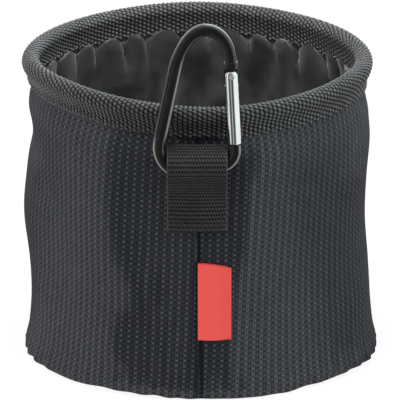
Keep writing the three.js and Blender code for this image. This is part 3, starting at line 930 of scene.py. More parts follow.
@dataclass
class BagForm:
    """The outside of the cloth wall: the frame's outline with the folds of slack cloth."""

    lean: float = 2.0 * MM  # How far right of the rim the base sits
    # Degrees from the front within which the wall stays smooth, and where folds are full
    calm: Span = (8.0, 17.0)
    foot_puckers: int = 58  # Gathers along the base seam
    foot_depth: float = 0.95 * MM  # Their depth
    neck_puckers: int = 46  # Gathers under the binding
    neck_depth: float = 0.5 * MM  # Their depth
    seam_depth: float = 1.3 * MM  # Depth of the front seam's crease
    seam_width: float = 1.2 * MM  # Half the crease's width
    ripple: float = 0.35 * MM  # Height of the fine ripple over the whole wall
    foot_fade: float = 9 * MM  # How far up the gathers along the base reach
    neck_fade: float = 10 * MM  # How far down those under the binding reach
    # Distances below the binding's edge between which the cloth comes free
    neck_room: Span = (-1 * MM, 9 * MM)
    # Waves of the springy rim: degrees round, half width in degrees and lift
    rim_waves: Waves = (
        (10.0, 28.0, -2.3 * MM), (-58.0, 27.0, 2.4 * MM), (66.0, 16.0, 0.9 * MM), (180.0, 28.0, 1.5 * MM),
    )
    rim_start: float = 100 * MM  # Height from which they show
    foot_flat: float = 1.6 * MM  # How far the base is pushed in at the front
    flat_spread: float = 32.0  # Half width of that part in degrees
    foot_full: float = 2.2 * MM  # How far it stands out at both sides of that
    full_at: Span = (68.0, 20.0)  # Degrees from the front to the middle of those parts, and half their width
    square_fade: float = 16 * MM  # How far up this reaches
    # Places where the sewn edge leaves the floor: degrees round, half width in degrees and lift
    hem_lifts: Waves = (
        (-33.0, 9.0, 1.3 * MM), (-17.0, 8.0, 1.1 * MM), (1.0, 9.0, 0.6 * MM),
        (41.0, 8.0, 1.1 * MM), (58.0, 8.0, 0.9 * MM), (104.0, 10.0, 0.9 * MM), (148.0, 12.0, 1.2 * MM),
        (-112.0, 11.0, 1.0 * MM), (-160.0, 12.0, 0.8 * MM),
    )
    hem_ripple: float = 0.16 * MM  # Height of its fine ripple
    hem_height: float = 14 * MM  # Height up to which that shows
    hem_reach: Span = (62 * MM, 82 * MM)  # Radii between which it comes in
    plain: float = 8 * MM  # How far in from the widest the frame's wall still counts as its outside

    def __post_init__(self) -> None:
        """Reads the wall's outline from the frame."""
        points = np.array([v.co for v in frame["nodes"]["outer_wall"].data.vertices])
        reach = np.hypot(points[:, 0], points[:, 1])
        levels = np.unique(points[:, 2].round(5))
        widest = [reach[np.abs(points[:, 2] - level) < 1e-5].max() for level in levels]
        outer = np.array(widest) > reach.max() - self.plain
        self.top = float(levels[-1])
        self.binding_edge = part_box("rim_binding")[0].z
        fine = np.arange(0.0, self.top, MM)
        radii = np.interp(fine, levels[outer], np.array(widest)[outer])
        window = np.hanning(9) / np.hanning(9).sum()
        self.heights = fine
        self.radii = np.convolve(np.pad(radii, 4, mode="edge"), window, "valid")

    def outline(self, height: Array) -> Array:
        """The frame's radius at each height."""
        return np.interp(height, self.heights, self.radii)

    def swell(self, angle: Array, height: Array) -> Array:
        """How far the cloth stands out from the frame's outline.

        Args:
            angle: Angles in radians.
            height: Heights.

        Returns:
            Distances.
        """
        off_front = np.abs((angle + math.pi) % FULL_TURN - math.pi)
        below = self.binding_edge - height
        ripple = np.cos(7 * angle + 40 * height + 0.6) * np.cos(3 * angle - 55 * height)
        folds = sum(fold.reach(angle, height) for fold in WALL_FOLDS) + self.ripple * ripple
        folds = folds * ease(off_front, *np.radians(self.calm))
        wander = 0.8 * np.sin(3 * angle + 0.4) + 0.5 * np.sin(8 * angle)
        foot = np.cos(self.foot_puckers * angle + 2.5 * wander) * (0.7 + 0.3 * np.cos(5 * angle + 1))
        neck = np.cos(self.neck_puckers * angle + 2.0 * wander) * (0.6 + 0.4 * np.cos(4 * angle))
        gathers = self.foot_depth * foot * np.exp(-height / self.foot_fade)
        gathers = gathers + self.neck_depth * neck * np.exp(-np.maximum(below, 0) / self.neck_fade)
        crease = self.seam_depth * np.exp(-(off_front * self.radii.mean() / self.seam_width) ** 2)
        degrees = np.degrees(off_front)
        full = self.foot_full * np.exp(-((degrees - self.full_at[0]) / self.full_at[1]) ** 2)
        flat = self.foot_flat * np.exp(-(degrees / self.flat_spread) ** 2)
        squared = (full - flat) * np.exp(-height / self.square_fade)
        return (folds + gathers + squared - crease) * ease(below, *self.neck_room)

    @staticmethod
    def waves(angle: Array, swells: Waves) -> Array:
        """Adds up soft swells round the bag.

        Args:
            angle: Angles in radians.
            swells: Each swell's degrees round, half width in degrees and lift.

        Returns:
            Lifts.
        """
        degrees = np.degrees(angle)
        return sum(lift * np.exp(-(((degrees - middle + 180) % 360 - 180) / spread) ** 2)
                   for middle, spread, lift in swells)

    def hem_lift(self, angle: Array) -> Array:
        """How far the sewn edge leaves the floor at each angle."""
        ripple = np.cos(37 * angle + 3 * np.sin(4 * angle)) * (1 + np.cos(6 * angle + 2))
        return self.waves(angle, self.hem_lifts) + self.hem_ripple * (2 + ripple)

    def place(self, angle: Array, radius: Array, height: Array) -> Array:
        """Points of the leaning bag, with the lifts of its rim and of its sewn edge.

        Args:
            angle: Angles in radians.
            radius: Radii.
            height: Heights on the frame.

        Returns:
            Points along the last axis.
        """
        angle, radius, height = np.broadcast_arrays(angle, radius, height)
        x = radius * np.sin(angle) + self.lean * (1 - ease(height, 0, self.binding_edge))
        lift = self.waves(angle, self.rim_waves) * ease(height, self.rim_start, self.binding_edge)
        hem = (1 - ease(height, 0, self.hem_height)) * ease(radius, *self.hem_reach)
        lift = lift + self.hem_lift(angle) * hem
        return joined(x, -radius * np.cos(angle), height + lift)


@dataclass
class ClothBody:
    """The outer wall, the base under it and the lining inside."""

    form: BagForm  # The wall's outside
    columns: int = 640  # Points round the bag
    rows: int = 76  # Points up the wall
    cloth: float = 0.9 * MM  # Thickness of the outer cloth
    lining: float = 0.5 * MM  # Thickness of the lining
    lining_gap: float = 0.5 * MM  # Room between them
    foot: float = 3.0 * MM  # Radius of the wall's turn under the base
    seam: float = 2.2 * MM  # Half width of the shade in the front seam
    lining_columns: int = 440  # Points round the lining
    lining_rows: int = 92  # Points up the lining
    fold: float = 5.0 * MM  # How far the lining's main folds bulge in
    folds: int = 12  # Main folds round the bag
    puff_height: float = 26 * MM  # Height of one puff of a fold
    fold_start: float = 26 * MM  # Height at which the folds are full
    gather: float = 14 * MM  # Distance below the binding in which they are gathered away
    crease: float = 0.6 * MM  # Height of the fine creases
    reach_in: float = 9.5 * MM  # How far in from its own outline the lining comes at most
    # Degrees round at which the row of puckers under the binding starts, going left
    puff_start: float = 141.0
    puff_depth: float = 6.8 * MM  # How far an average pucker bulges in
    puff_lift: float = 12.0 * MM  # How far it pushes up over the binding's edge
    puff_drop: Span = (13 * MM, 7 * MM)  # A pucker's height, and how much more the widest has
    puff_top: float = 0.34  # Share of that height, from above, at which it is full
    puff_fade: Span = (0.4, 1.35)  # Shares between which it fades out
    lift_end: float = 1.6  # Share at which its lift ends
    panel_grid: tuple[int, int] = (26, 160)  # Rings and points round of the two floor panels
    panel_room: float = 0.3 * MM  # Room between them and the wall's turned foot
    panel_flat: float = 45 * MM  # Radius at which they lift fully
    panel_map: float = 4.06  # What their cloth map measures, as a share of their radius
    panel_ripple: Span = (0.5 * MM, 1.6 * MM)  # How far the base lifts, and how far the lining's floor does
    spare: Span = (1.08, 1.04)  # What the lining's folds need, as shares of its width and its height

    def build(self) -> None:
        """Makes and dresses the pieces."""
        self.seat = float(self.form.outline(np.array(self.foot))) - self.foot
        self.around = FULL_TURN * self.form.radii.mean()
        self.wall()
        map_size = self.panel_map * self.seat
        base = self.panel("base_cloth", 0.0, self.cloth, self.panel_ripple[0])
        settle(base, SpeckledCloth("speckled_base", map_size, map_size), Body.BAG, "base_panel")
        self.lining_wall()
        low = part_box("lining_base")[0].z
        floor = self.panel("lining_floor", low, self.lining, self.panel_ripple[1])
        settle(floor, Lining(), Body.BAG, "lining_base")

    def section(self, inset: float, steps: int, rows: int) -> Array:
        """One side of the wall, from under the base to its top.

        Args:
            inset: How far in from the outside it lies.
            steps: Steps in the turned foot.
            rows: Points up the wall.

        Returns:
            Radii and heights as rows.
        """
        turned = arc((self.seat, self.foot), self.foot - inset, -90, 0, steps)
        heights = np.linspace(self.foot, self.form.top, rows)[1:]
        upright = np.stack([self.form.outline(heights) - inset, heights], 1)
        return np.concatenate([turned, upright])

    def loose(self, path: Array, angles: Array) -> Array:
        """Rows by columns of a section's radii round the bag, moved out by the cloth's folds."""
        under = ease(path[:, 1:] - path[:, 1].min(), 0, 0.8 * self.foot)
        return path[:, :1] + self.form.swell(angles[None], path[:, 1:]) * under

    def wall(self) -> None:
        """The outer cloth, a closed shell sewn at the front."""
        outside = self.section(0.0, 6, self.rows)
        inside = self.section(self.cloth, 3, self.rows // 2)[::-1]
        path = np.concatenate([outside, inside])
        along = run_lengths(np.concatenate([path, path[:1]]))
        angles = turns(self.columns)
        points = self.form.place(angles[None], self.loose(path, angles), path[:, 1:])
        piece = Skin(points, True, along / along[-1]).build("wall_cloth")
        finish = SpeckledCloth("speckled_wall", self.around, along[-1], seam=self.seam)
        settle(piece, finish, Body.BAG, "outer_wall")

    def panel(self, name: str, low: float, thickness: float, ripple: float) -> Piece:
        """A round cloth panel, a little uneven.

        Args:
            name: The new object's name.
            low: Height of its underside.
            thickness: Its thickness.
            ripple: How far it lifts.

        Returns:
            The panel.
        """
        rings, columns = self.panel_grid
        reach = np.sqrt(np.linspace(0.002, 1, rings))[:, None] * (self.seat - self.panel_room)
        angle = turns(columns)[None]
        uneven = np.cos(3 * angle + reach * 90) * np.cos(5 * angle - 1) + np.cos(reach * 160 + 2 * angle)
        free = (1 - ease(reach / self.seat, 0.8, 1.0)) * ease(reach, 0, self.panel_flat)
        lift = ripple * (1 + 0.5 * uneven) * free
        under = self.form.place(angle, reach, low + lift)
        over = self.form.place(angle, reach, low + thickness + lift)
        piece = Skin(np.concatenate([under, over[::-1]])).build(name)
        self.map_panel(piece.data, rings * columns)
        return piece

    def map_panel(self, mesh: bpy.types.Mesh, below: int) -> None:
        """Lays a panel's cloth map, with its underside and its upper side next to each other.

        Args:
            mesh: The panel's mesh.
            below: How many of its points lie on the underside.
        """
        corner = np.zeros(len(mesh.loops), np.int32)
        mesh.loops.foreach_get("vertex_index", corner)
        start = np.zeros(len(mesh.polygons), np.int32)
        mesh.polygons.foreach_get("loop_start", start)
        upper = np.logical_and.reduceat(corner >= below, start)
        upper = np.repeat(upper, np.diff(np.append(start, len(corner))))
        flat = np.array([v.co[:2] for v in mesh.vertices])[corner] / (self.panel_map * self.seat)
        places = flat + np.stack([np.where(upper, 0.75, 0.25), np.full(len(corner), 0.5)], 1)
        mesh.uv_layers[MAP_NAME].data.foreach_set("uv", places.astype(np.float32).ravel())

    def lining_wall(self) -> None:
        """The loose lining, puckered under the binding."""
        inset = self.cloth + self.lining_gap
        sides = [self.section(depth, 3, self.lining_rows) for depth in (inset, inset + self.lining)]
        angles = turns(self.lining_columns)
        shells = [self.gathered(path, angles) for path in sides]
        piece = Skin(np.concatenate([shells[0], shells[1][::-1]]), True).build("lining")
        settle(piece, Lining(), Body.BAG, "lining_wall")

    def gathered(self, path: Array, angles: Array) -> Array:
        """One side of the lining, moved in where it hangs loose.

        Args:
            path: Radii and heights as rows.
            angles: Angles of the columns.

        Returns:
            Rows by columns of points.
        """
        angle, height = angles[None], path[:, 1:]
        below = self.form.binding_edge - height
        across = np.cos(self.folds * angle + 1.4 * np.sin(4 * angle))
        up = np.cos(math.pi * height / self.puff_height + 3 * angle)
        free = ease(height, self.foot, self.fold_start) * ease(below, 0, self.gather)
        main = self.fold * (0.5 + 0.5 * across * up) * free
        bulge, size = self.puffs(angle + 2.5 * np.maximum(below, 0))
        drop = below / (self.puff_drop[0] + self.puff_drop[1] * size)
        top = ease(drop, 0, self.puff_top)
        puckered = bulge * (0.45 + 0.55 * size) * top * (1 - ease(drop, *self.puff_fade))
        crease = np.sin(23 * angle + 70 * height + 2 * np.sin(7 * angle)) * np.sin(150 * height - 5 * angle)
        depth = main * (1 - 0.6 * puckered) + self.puff_depth * puckered + self.crease * crease * free
        lift = self.puff_lift * bulge * (0.6 + 0.4 * size) * top
        lift = lift * (1 - ease(drop, self.puff_top, self.lift_end))
        radius = np.maximum(self.loose(path, angles) - depth, path[:, :1] - self.reach_in)
        return self.form.place(angle, radius, height + lift)

    def puffs(self, angle: Array) -> tuple[Array, Array]:
        """The row of puckers under the binding.

        Args:
            angle: Angles in radians.

        Returns:
            How full a pucker is at each angle, from 0 at its creased edges to 1, and its width as a share of
            the widest.
        """
        ends = np.cumsum(PUFF_WIDTHS)
        along = (self.puff_start - np.degrees(angle)) % 360 * ends[-1] / 360
        number = np.minimum(np.searchsorted(ends, along, side="right"), len(ends) - 1)
        width = np.array(PUFF_WIDTHS)[number]
        off_middle = (ends[number] - along) / width * 2 - 1
        return (1 - np.clip(off_middle ** 2, 0, 1)) ** 0.62, width / max(PUFF_WIDTHS)


@dataclass
class RimBinding:
    """Webbing folded over the wire rim and sewn through the cloth."""

    form: BagForm  # The wall's outside
    thickness: float = 1.4 * MM  # The webbing's thickness
    column: float = 2.35 * MM  # Width of a bump along the rim
    row: float = 2.3 * MM  # Length of a bump across the webbing
    relief: float = 0.65 * MM  # Height of the bumps
    reach: float = 0.5  # Half a bump's width, as a share of its cell
    slant: float = 0.4  # How far a bump leans over, as a share of its cell
    samples: int = 4  # Points across a bump
    reverse_rows: int = 12  # Points across the hidden side
    roll_size: Span = (4.45 * MM, 4.4 * MM)  # Half the rolled edge's width and half its height
    waist: float = 3.4 * MM  # Height over the lower edge at which the roll starts
    pinch: float = 0.5 * MM  # How far the inner flap is drawn in half way down
    room: Span = (0.3 * MM, 2.0 * MM)  # Distance from the neck to the outer flap, and to the inner one
    margin: float = 1.2 * MM  # Width of the flat selvedge
    # How far the lower edge lies over the frame's, and how much of that the right side loses
    edge_lift: Span = (0.9 * MM, 1.3 * MM)
    edge_wave: float = 0.35 * MM  # How far the edge waves
    face: float = 0.75  # Share of the cloth map up that the shown side takes
    stitch: float = 3.4 * MM  # Length from one stitch to the next
    stitched: float = 0.62  # Share of that length that shows
    stitch_height: float = 2.4 * MM  # Height of the stitches over the lower edge
    stitch_rise: float = 0.32 * MM  # How far a stitch's middle stands up
    # Distance from the neck to the outer row, and to the inner one, under the webbing
    stitch_room: Span = (0.3 * MM, 1.9 * MM)

    def build(self) -> None:
        """Makes and dresses the webbing, its stitches and the wire."""
        low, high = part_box("rim_binding")
        self.edge = low.z
        self.roll = (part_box("rim_hoop")[0].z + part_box("rim_hoop")[1].z) / 2
        self.roll_radius = high.z - self.roll
        self.rim = high.x - self.roll_radius
        self.neck = float(self.form.outline(np.array(self.edge)))
        self.webbing()
        self.wire()

    def fold_over(self, inset: float, steps: int) -> Array:
        """One side of the folded webbing, from its outer edge over the roll to its inner edge.

        Args:
            inset: How far in from the shown side it lies.
            steps: Steps over the roll.

        Returns:
            Radii and heights as rows.
        """
        width, height = self.roll_size
        middle = np.array([self.rim + self.roll_radius - width, self.roll + self.roll_radius - height])
        outer = self.neck + self.room[0] + self.thickness - inset
        inner = self.neck - self.room[1] - self.thickness + inset
        rise = np.linspace(self.edge, middle[1], 14)
        bulge = outer + (middle[0] + width - inset - outer) * ease(rise, self.edge + self.waist, middle[1])
        pinch = self.pinch * np.sin(np.linspace(0, math.pi, 8))
        back = np.linspace(middle[0] - width + inset, inner, 8) + pinch
        return np.concatenate([
            np.stack([bulge, rise], 1)[:-1],
            middle + arc((0.0, 0.0), 1.0, 0, 180, steps) * (width - inset, height - inset),
            np.stack([back, np.linspace(middle[1], self.edge, 8)], 1)[1:],
        ])

    def webbing(self) -> None:
        """The folded webbing with its bumps, and the row of stitches along its edges."""
        shown, hidden = self.fold_over(0.0, 30), self.fold_over(self.thickness, 12)
        length = run_lengths(shown)[-1]
        columns = 2 * round(FULL_TURN * self.rim / self.column / 2)
        rows = round(length / self.row)
        weave = Weave(columns, rows, Stagger.COLUMNS, self.reach, self.slant)
        path = respaced(shown, rows * self.samples + 1)
        back = respaced(hidden, self.reverse_rows)[::-1]
        angles = turns(columns * self.samples)
        up = np.linspace(0, 1, len(path))
        bumps = weave.heights(angles[None] / FULL_TURN, up[:, None])
        margin = ease(np.minimum(up, 1 - up)[:, None] * length, 0, self.margin)
        lift = (bumps - 0.6) * self.relief * margin - 0.5 * self.thickness * (1 - margin)
        front = self.turned(*moved_aside(path, lift), angles)
        reverse = self.turned(back[:, :1] + 0 * angles, back[:, 1:] + 0 * angles, angles)
        map_up = np.concatenate([up * self.face, np.linspace(self.face, 1, self.reverse_rows + 1)])
        piece = Skin(np.concatenate([front, reverse]), True, map_up).build("rim_webbing")
        drawn = replace(weave, rows=rows / self.face)
        settle(piece, Webbing("binding_weave", "binding_webbing", drawn), Body.BAG, "rim_binding")
        self.stitches()

    def turned(self, radius: Array, height: Array, angles: Array) -> Array:
        """Turns rows by columns of radii and heights round the rim, and waves the lower edges."""
        drop = ease(self.roll - height, 0, self.roll - self.edge)
        return self.form.place(angles[None], radius, height + drop * self.edge_rise(angles)[None])

    def edge_rise(self, angles: Array) -> Array:
        """How far the lower edge lies over the frame's at each angle."""
        uneven = self.edge_wave * np.sin(13 * angles + 2 * np.sin(3 * angles))
        return self.edge_lift[0] - self.edge_lift[1] * np.sin(angles) ** 3 + uneven

    def stitches(self) -> None:
        """Thread through both flaps, a little above their edges."""
        count = round(FULL_TURN * self.neck / self.stitch)
        turn = self.stitched * FULL_TURN / count
        outer = self.neck + self.stitch_room[0] + self.thickness
        inner = self.neck - self.stitch_room[1] - self.thickness
        run = Stitching(rise=self.stitch_rise)
        for sign, radius in ((1, outer), (-1, inner)):
            for angle in turns(count):
                angles = np.array([angle, angle + turn])
                height = self.edge + self.stitch_height + 0.85 * self.edge_rise(angles)
                start, end = self.form.place(angles, radius, height)
                middle = angle + turn / 2
                run.add(start, end, sign * np.array([math.sin(middle), -math.cos(middle), 0.0]))
        finish = Thread("binding_thread", "binding_webbing", (0.02, 0.02, 0.021))
        settle(run.build("rim_stitches"), finish, Body.BAG)

    def wire(self) -> None:
        """The hoop, and the sleeve that joins its ends at the back."""
        low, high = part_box("rim_hoop")
        finish = BareMetal("hoop_wire", "hoop_steel", (0.55, 0.55, 0.56), 0.35)
        hoop = self.tube("hoop_wire", 0.0, FULL_TURN, (high.z - low.z) / 2, True)
        settle(hoop, finish, Body.BAG, "rim_hoop")
        low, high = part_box("hoop_sleeve")
        half = (high.x - low.x) / 2 / self.rim
        sleeve = self.tube("wire_sleeve", math.pi - half, math.pi + half, (high.z - low.z) / 2, False)
        settle(sleeve, finish, Body.BAG, "hoop_sleeve")

    def tube(self, name: str, start: float, end: float, radius: float, ring: bool) -> Piece:
        """A round wire along the rim.

        Args:
            name: The new object's name.
            start: Its first angle.
            end: Its last angle.
            radius: Half its thickness.
            ring: Whether it runs all the way round.

        Returns:
            The wire.
        """
        angles = np.linspace(start, end, 360 if ring else 16, endpoint=not ring)[:, None]
        section = arc((self.rim, self.roll), radius, 0, 360, 16)[:-1]
        return Skin(self.form.place(angles, section[None, :, 0], section[None, :, 1]), ring).build(name)


@dataclass
class HangingTab:
    """A strip of webbing folded round the carabiner's bar and sewn flat below it."""

    width: float = 30 * MM  # The strip's width
    thickness: float = 1.4 * MM  # Its thickness
    column: float = 1.4 * MM  # Width of a bump
    row: float = 2.15 * MM  # Length of a bump
    relief: float = 0.42 * MM  # Height of the bumps
    reach: float = 0.5  # Half a bump's width, as a share of its cell
    slant: float = 0.7  # How far a bump leans over, as a share of its cell
    fold: float = 2.0 * MM  # Inside radius of the upper fold
    sewn: float = 11 * MM  # Length of the part that is sewn flat
    free: float = 14 * MM  # Length over which the strip leaves the wall
    front: float = -28.0  # Degrees round the loop at which the strip's front meets it
    hem: float = 3.2 * MM  # Length of the flat end
    short: float = 0.6 * MM  # How far above it the hidden end stops
    samples: int = 6  # Points across a bump
    reverse_columns: int = 14  # Points across the hidden side
    selvedge: float = 0.9 * MM  # Width of the thinner edges
    edge: float = 0.35  # Thickness left at them, as a share
    shown: float = 0.6  # Share of the cloth map across that the shown side takes
    # Length from one stitch to the next, and from the rows at the sides to the strip's edge
    pitch: float = 2.6 * MM
    stitched: float = 0.62  # Share of that length that shows
    stitch_inset: float = 1.0 * MM  # Distance of the outer rows from the sewn part's ends
    thread: float = 0.24 * MM  # Half the thread's thickness
    thread_rise: float = 0.05 * MM  # How far the thread's line lies over the strip's face

    def build(self) -> None:
        """Makes and dresses the strip and its stitches."""
        low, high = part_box("hanging_tab")
        swing = joint("carabiner_swing")["pos_m"]
        self.bottom, self.top = low.z, high.z
        self.bar = np.array([-swing[1], swing[2]])
        self.room = -low.y - self.thickness - self.bar[0]
        self.middle = self.bar[0] - self.room
        self.stitch = self.bottom + self.sewn
        self.back = self.middle - self.thickness
        self.strip()
        self.stitches()

    def path(self) -> Array:
        """The strip's middle line from the front hem up, round the fold and down behind.

        Returns:
            Distances out from the bag's middle and heights, as rows.
        """
        half = self.thickness / 2
        fold_centre = np.array([self.middle + self.fold, self.top - self.thickness - self.fold])
        loop = self.room + half
        seam = np.array([self.middle + half, self.stitch])
        turn = math.radians(self.front)
        out = np.array([math.cos(turn), math.sin(turn)])
        rise = np.array([-out[1], out[0]])
        pulls = (0.45 * (self.bar[1] - self.stitch), 0.4 * loop)
        over = fold_centre - self.bar
        span = np.linalg.norm(over)
        lean = math.degrees(math.asin((loop - self.fold - half) / span))
        leave = math.degrees(math.atan2(over[1], over[0])) - 90 + lean
        return np.concatenate([
            [(self.middle + half, self.bottom)],
            bend(seam, np.array([0.0, 1.0]), self.bar + loop * out, rise, pulls)[:-1],
            arc(tuple(self.bar), loop, self.front, leave, 24),
            arc(tuple(fold_centre), self.fold + half, leave, 180, 10),
            [(self.middle - half, self.stitch), (self.middle - half, self.bottom + self.short)],
        ])

    def strip(self) -> None:
        """The webbing itself, with bumps on its outer face."""
        corners = self.path()
        length = run_lengths(corners)[-1]
        rows = round(length / self.row)
        columns = round(self.width / self.column)
        line = respaced(corners, rows * self.samples + 1)
        across = np.linspace(-0.5, 0.5, columns * self.samples + 1)
        under = np.linspace(0.5, -0.5, self.reverse_columns)
        along = np.linspace(0, 1, len(line))[:, None]
        weave = Weave(columns, rows, Stagger.ROWS, self.reach, self.slant)
        flat = ease(np.minimum(along, 1 - along) * length, 0.6 * self.hem, 1.3 * self.hem)
        bumps = (weave.heights(across[None] + 0.5, along) - 0.55) * self.relief * (0.15 + 0.85 * flat)
        selvedge = self.inside(across)
        top = self.thickness / 2 * (self.edge + (1 - self.edge) * selvedge) + bumps * selvedge
        below = -self.thickness / 2 * (self.edge + (1 - self.edge) * self.inside(under))
        offset = np.concatenate([top, np.broadcast_to(below, (len(line), len(under)))], 1)
        x = np.concatenate([across, under])[None] * self.width
        reach, height = moved_aside(line, offset)
        sewn = 1 - ease(height - self.stitch, 0, self.free)
        points = joined(x, sewn * self.fall(x) - reach, height)
        places = [np.linspace(0, self.shown, len(across)),
                  np.linspace(self.shown + 0.02, 0.98, len(under)), [1.0]]
        piece = Skin(points, across=np.concatenate(places)).build("tab_webbing")
        # The crown and hollow colours are painted light and painted shade; the selvedge carries a painted
        # highlight line
        finish = Webbing("tab_weave", "tab_webbing", replace(weave, columns=columns / self.shown),
                         crown=(0.045, 0.047, 0.044), hollow=(0.0080, 0.0083, 0.0082), gloss=0.15,
                         selvedge=(0.0, self.shown))
        settle(piece, finish, Body.BAG, "hanging_tab")

    def inside(self, across: Array) -> Array:
        """From 0 at the strip's edges to 1 inside them, for places across it, as one row."""
        return ease((0.5 - np.abs(across)) * self.width, 0, self.selvedge)[None]

    def fall(self, x: Array) -> Array:
        """How far the round wall falls back behind the strip at each place across."""
        return self.back - np.sqrt(self.back ** 2 - x ** 2)

    def stitches(self) -> None:
        """Two rows of thread across the strip and one down each side of the sewn part."""
        run = Stitching(thread=self.thread)
        side = self.width / 2 - self.pitch
        upper, lower = self.stitch - self.stitch_inset, self.bottom + self.hem + self.stitch_inset
        length = self.stitched * self.pitch
        for height in (upper, lower):
            for x in np.arange(-side, side - 0.5 * self.pitch, self.pitch):
                self.sew(run, (x, height), (x + length, height))
        for x in (-side, side):
            for height in np.arange(lower + self.pitch, upper - self.pitch, self.pitch):
                self.sew(run, (x, height), (x, height + length))
        finish = Thread("tab_thread", "tab_webbing", (0.014, 0.014, 0.015))
        settle(run.build("tab_stitches"), finish, Body.BAG)

    def sew(self, run: Stitching, start: Span, end: Span) -> None:
        """Adds a stitch on the sewn part's face.

        Args:
            run: The stitches so far.
            start: Its start across and up.
            end: Its end across and up.
        """
        face = self.middle + self.thickness + self.thread_rise
        ends = [np.array([x, self.fall(x) - face, z]) for x, z in (start, end)]
        turn = start[0] / face
        run.add(*ends, np.array([math.sin(turn), -math.cos(turn), 0.0]))


@dataclass
class Axes:
    """A turned place: an origin and three ways."""

    origin: Array
    x: Array
    y: Array
    z: Array

    def place(self, points: Array) -> Array:
        """Puts points given along the three ways into the bag's frame."""
        return self.origin + points @ np.stack([self.x, self.y, self.z])


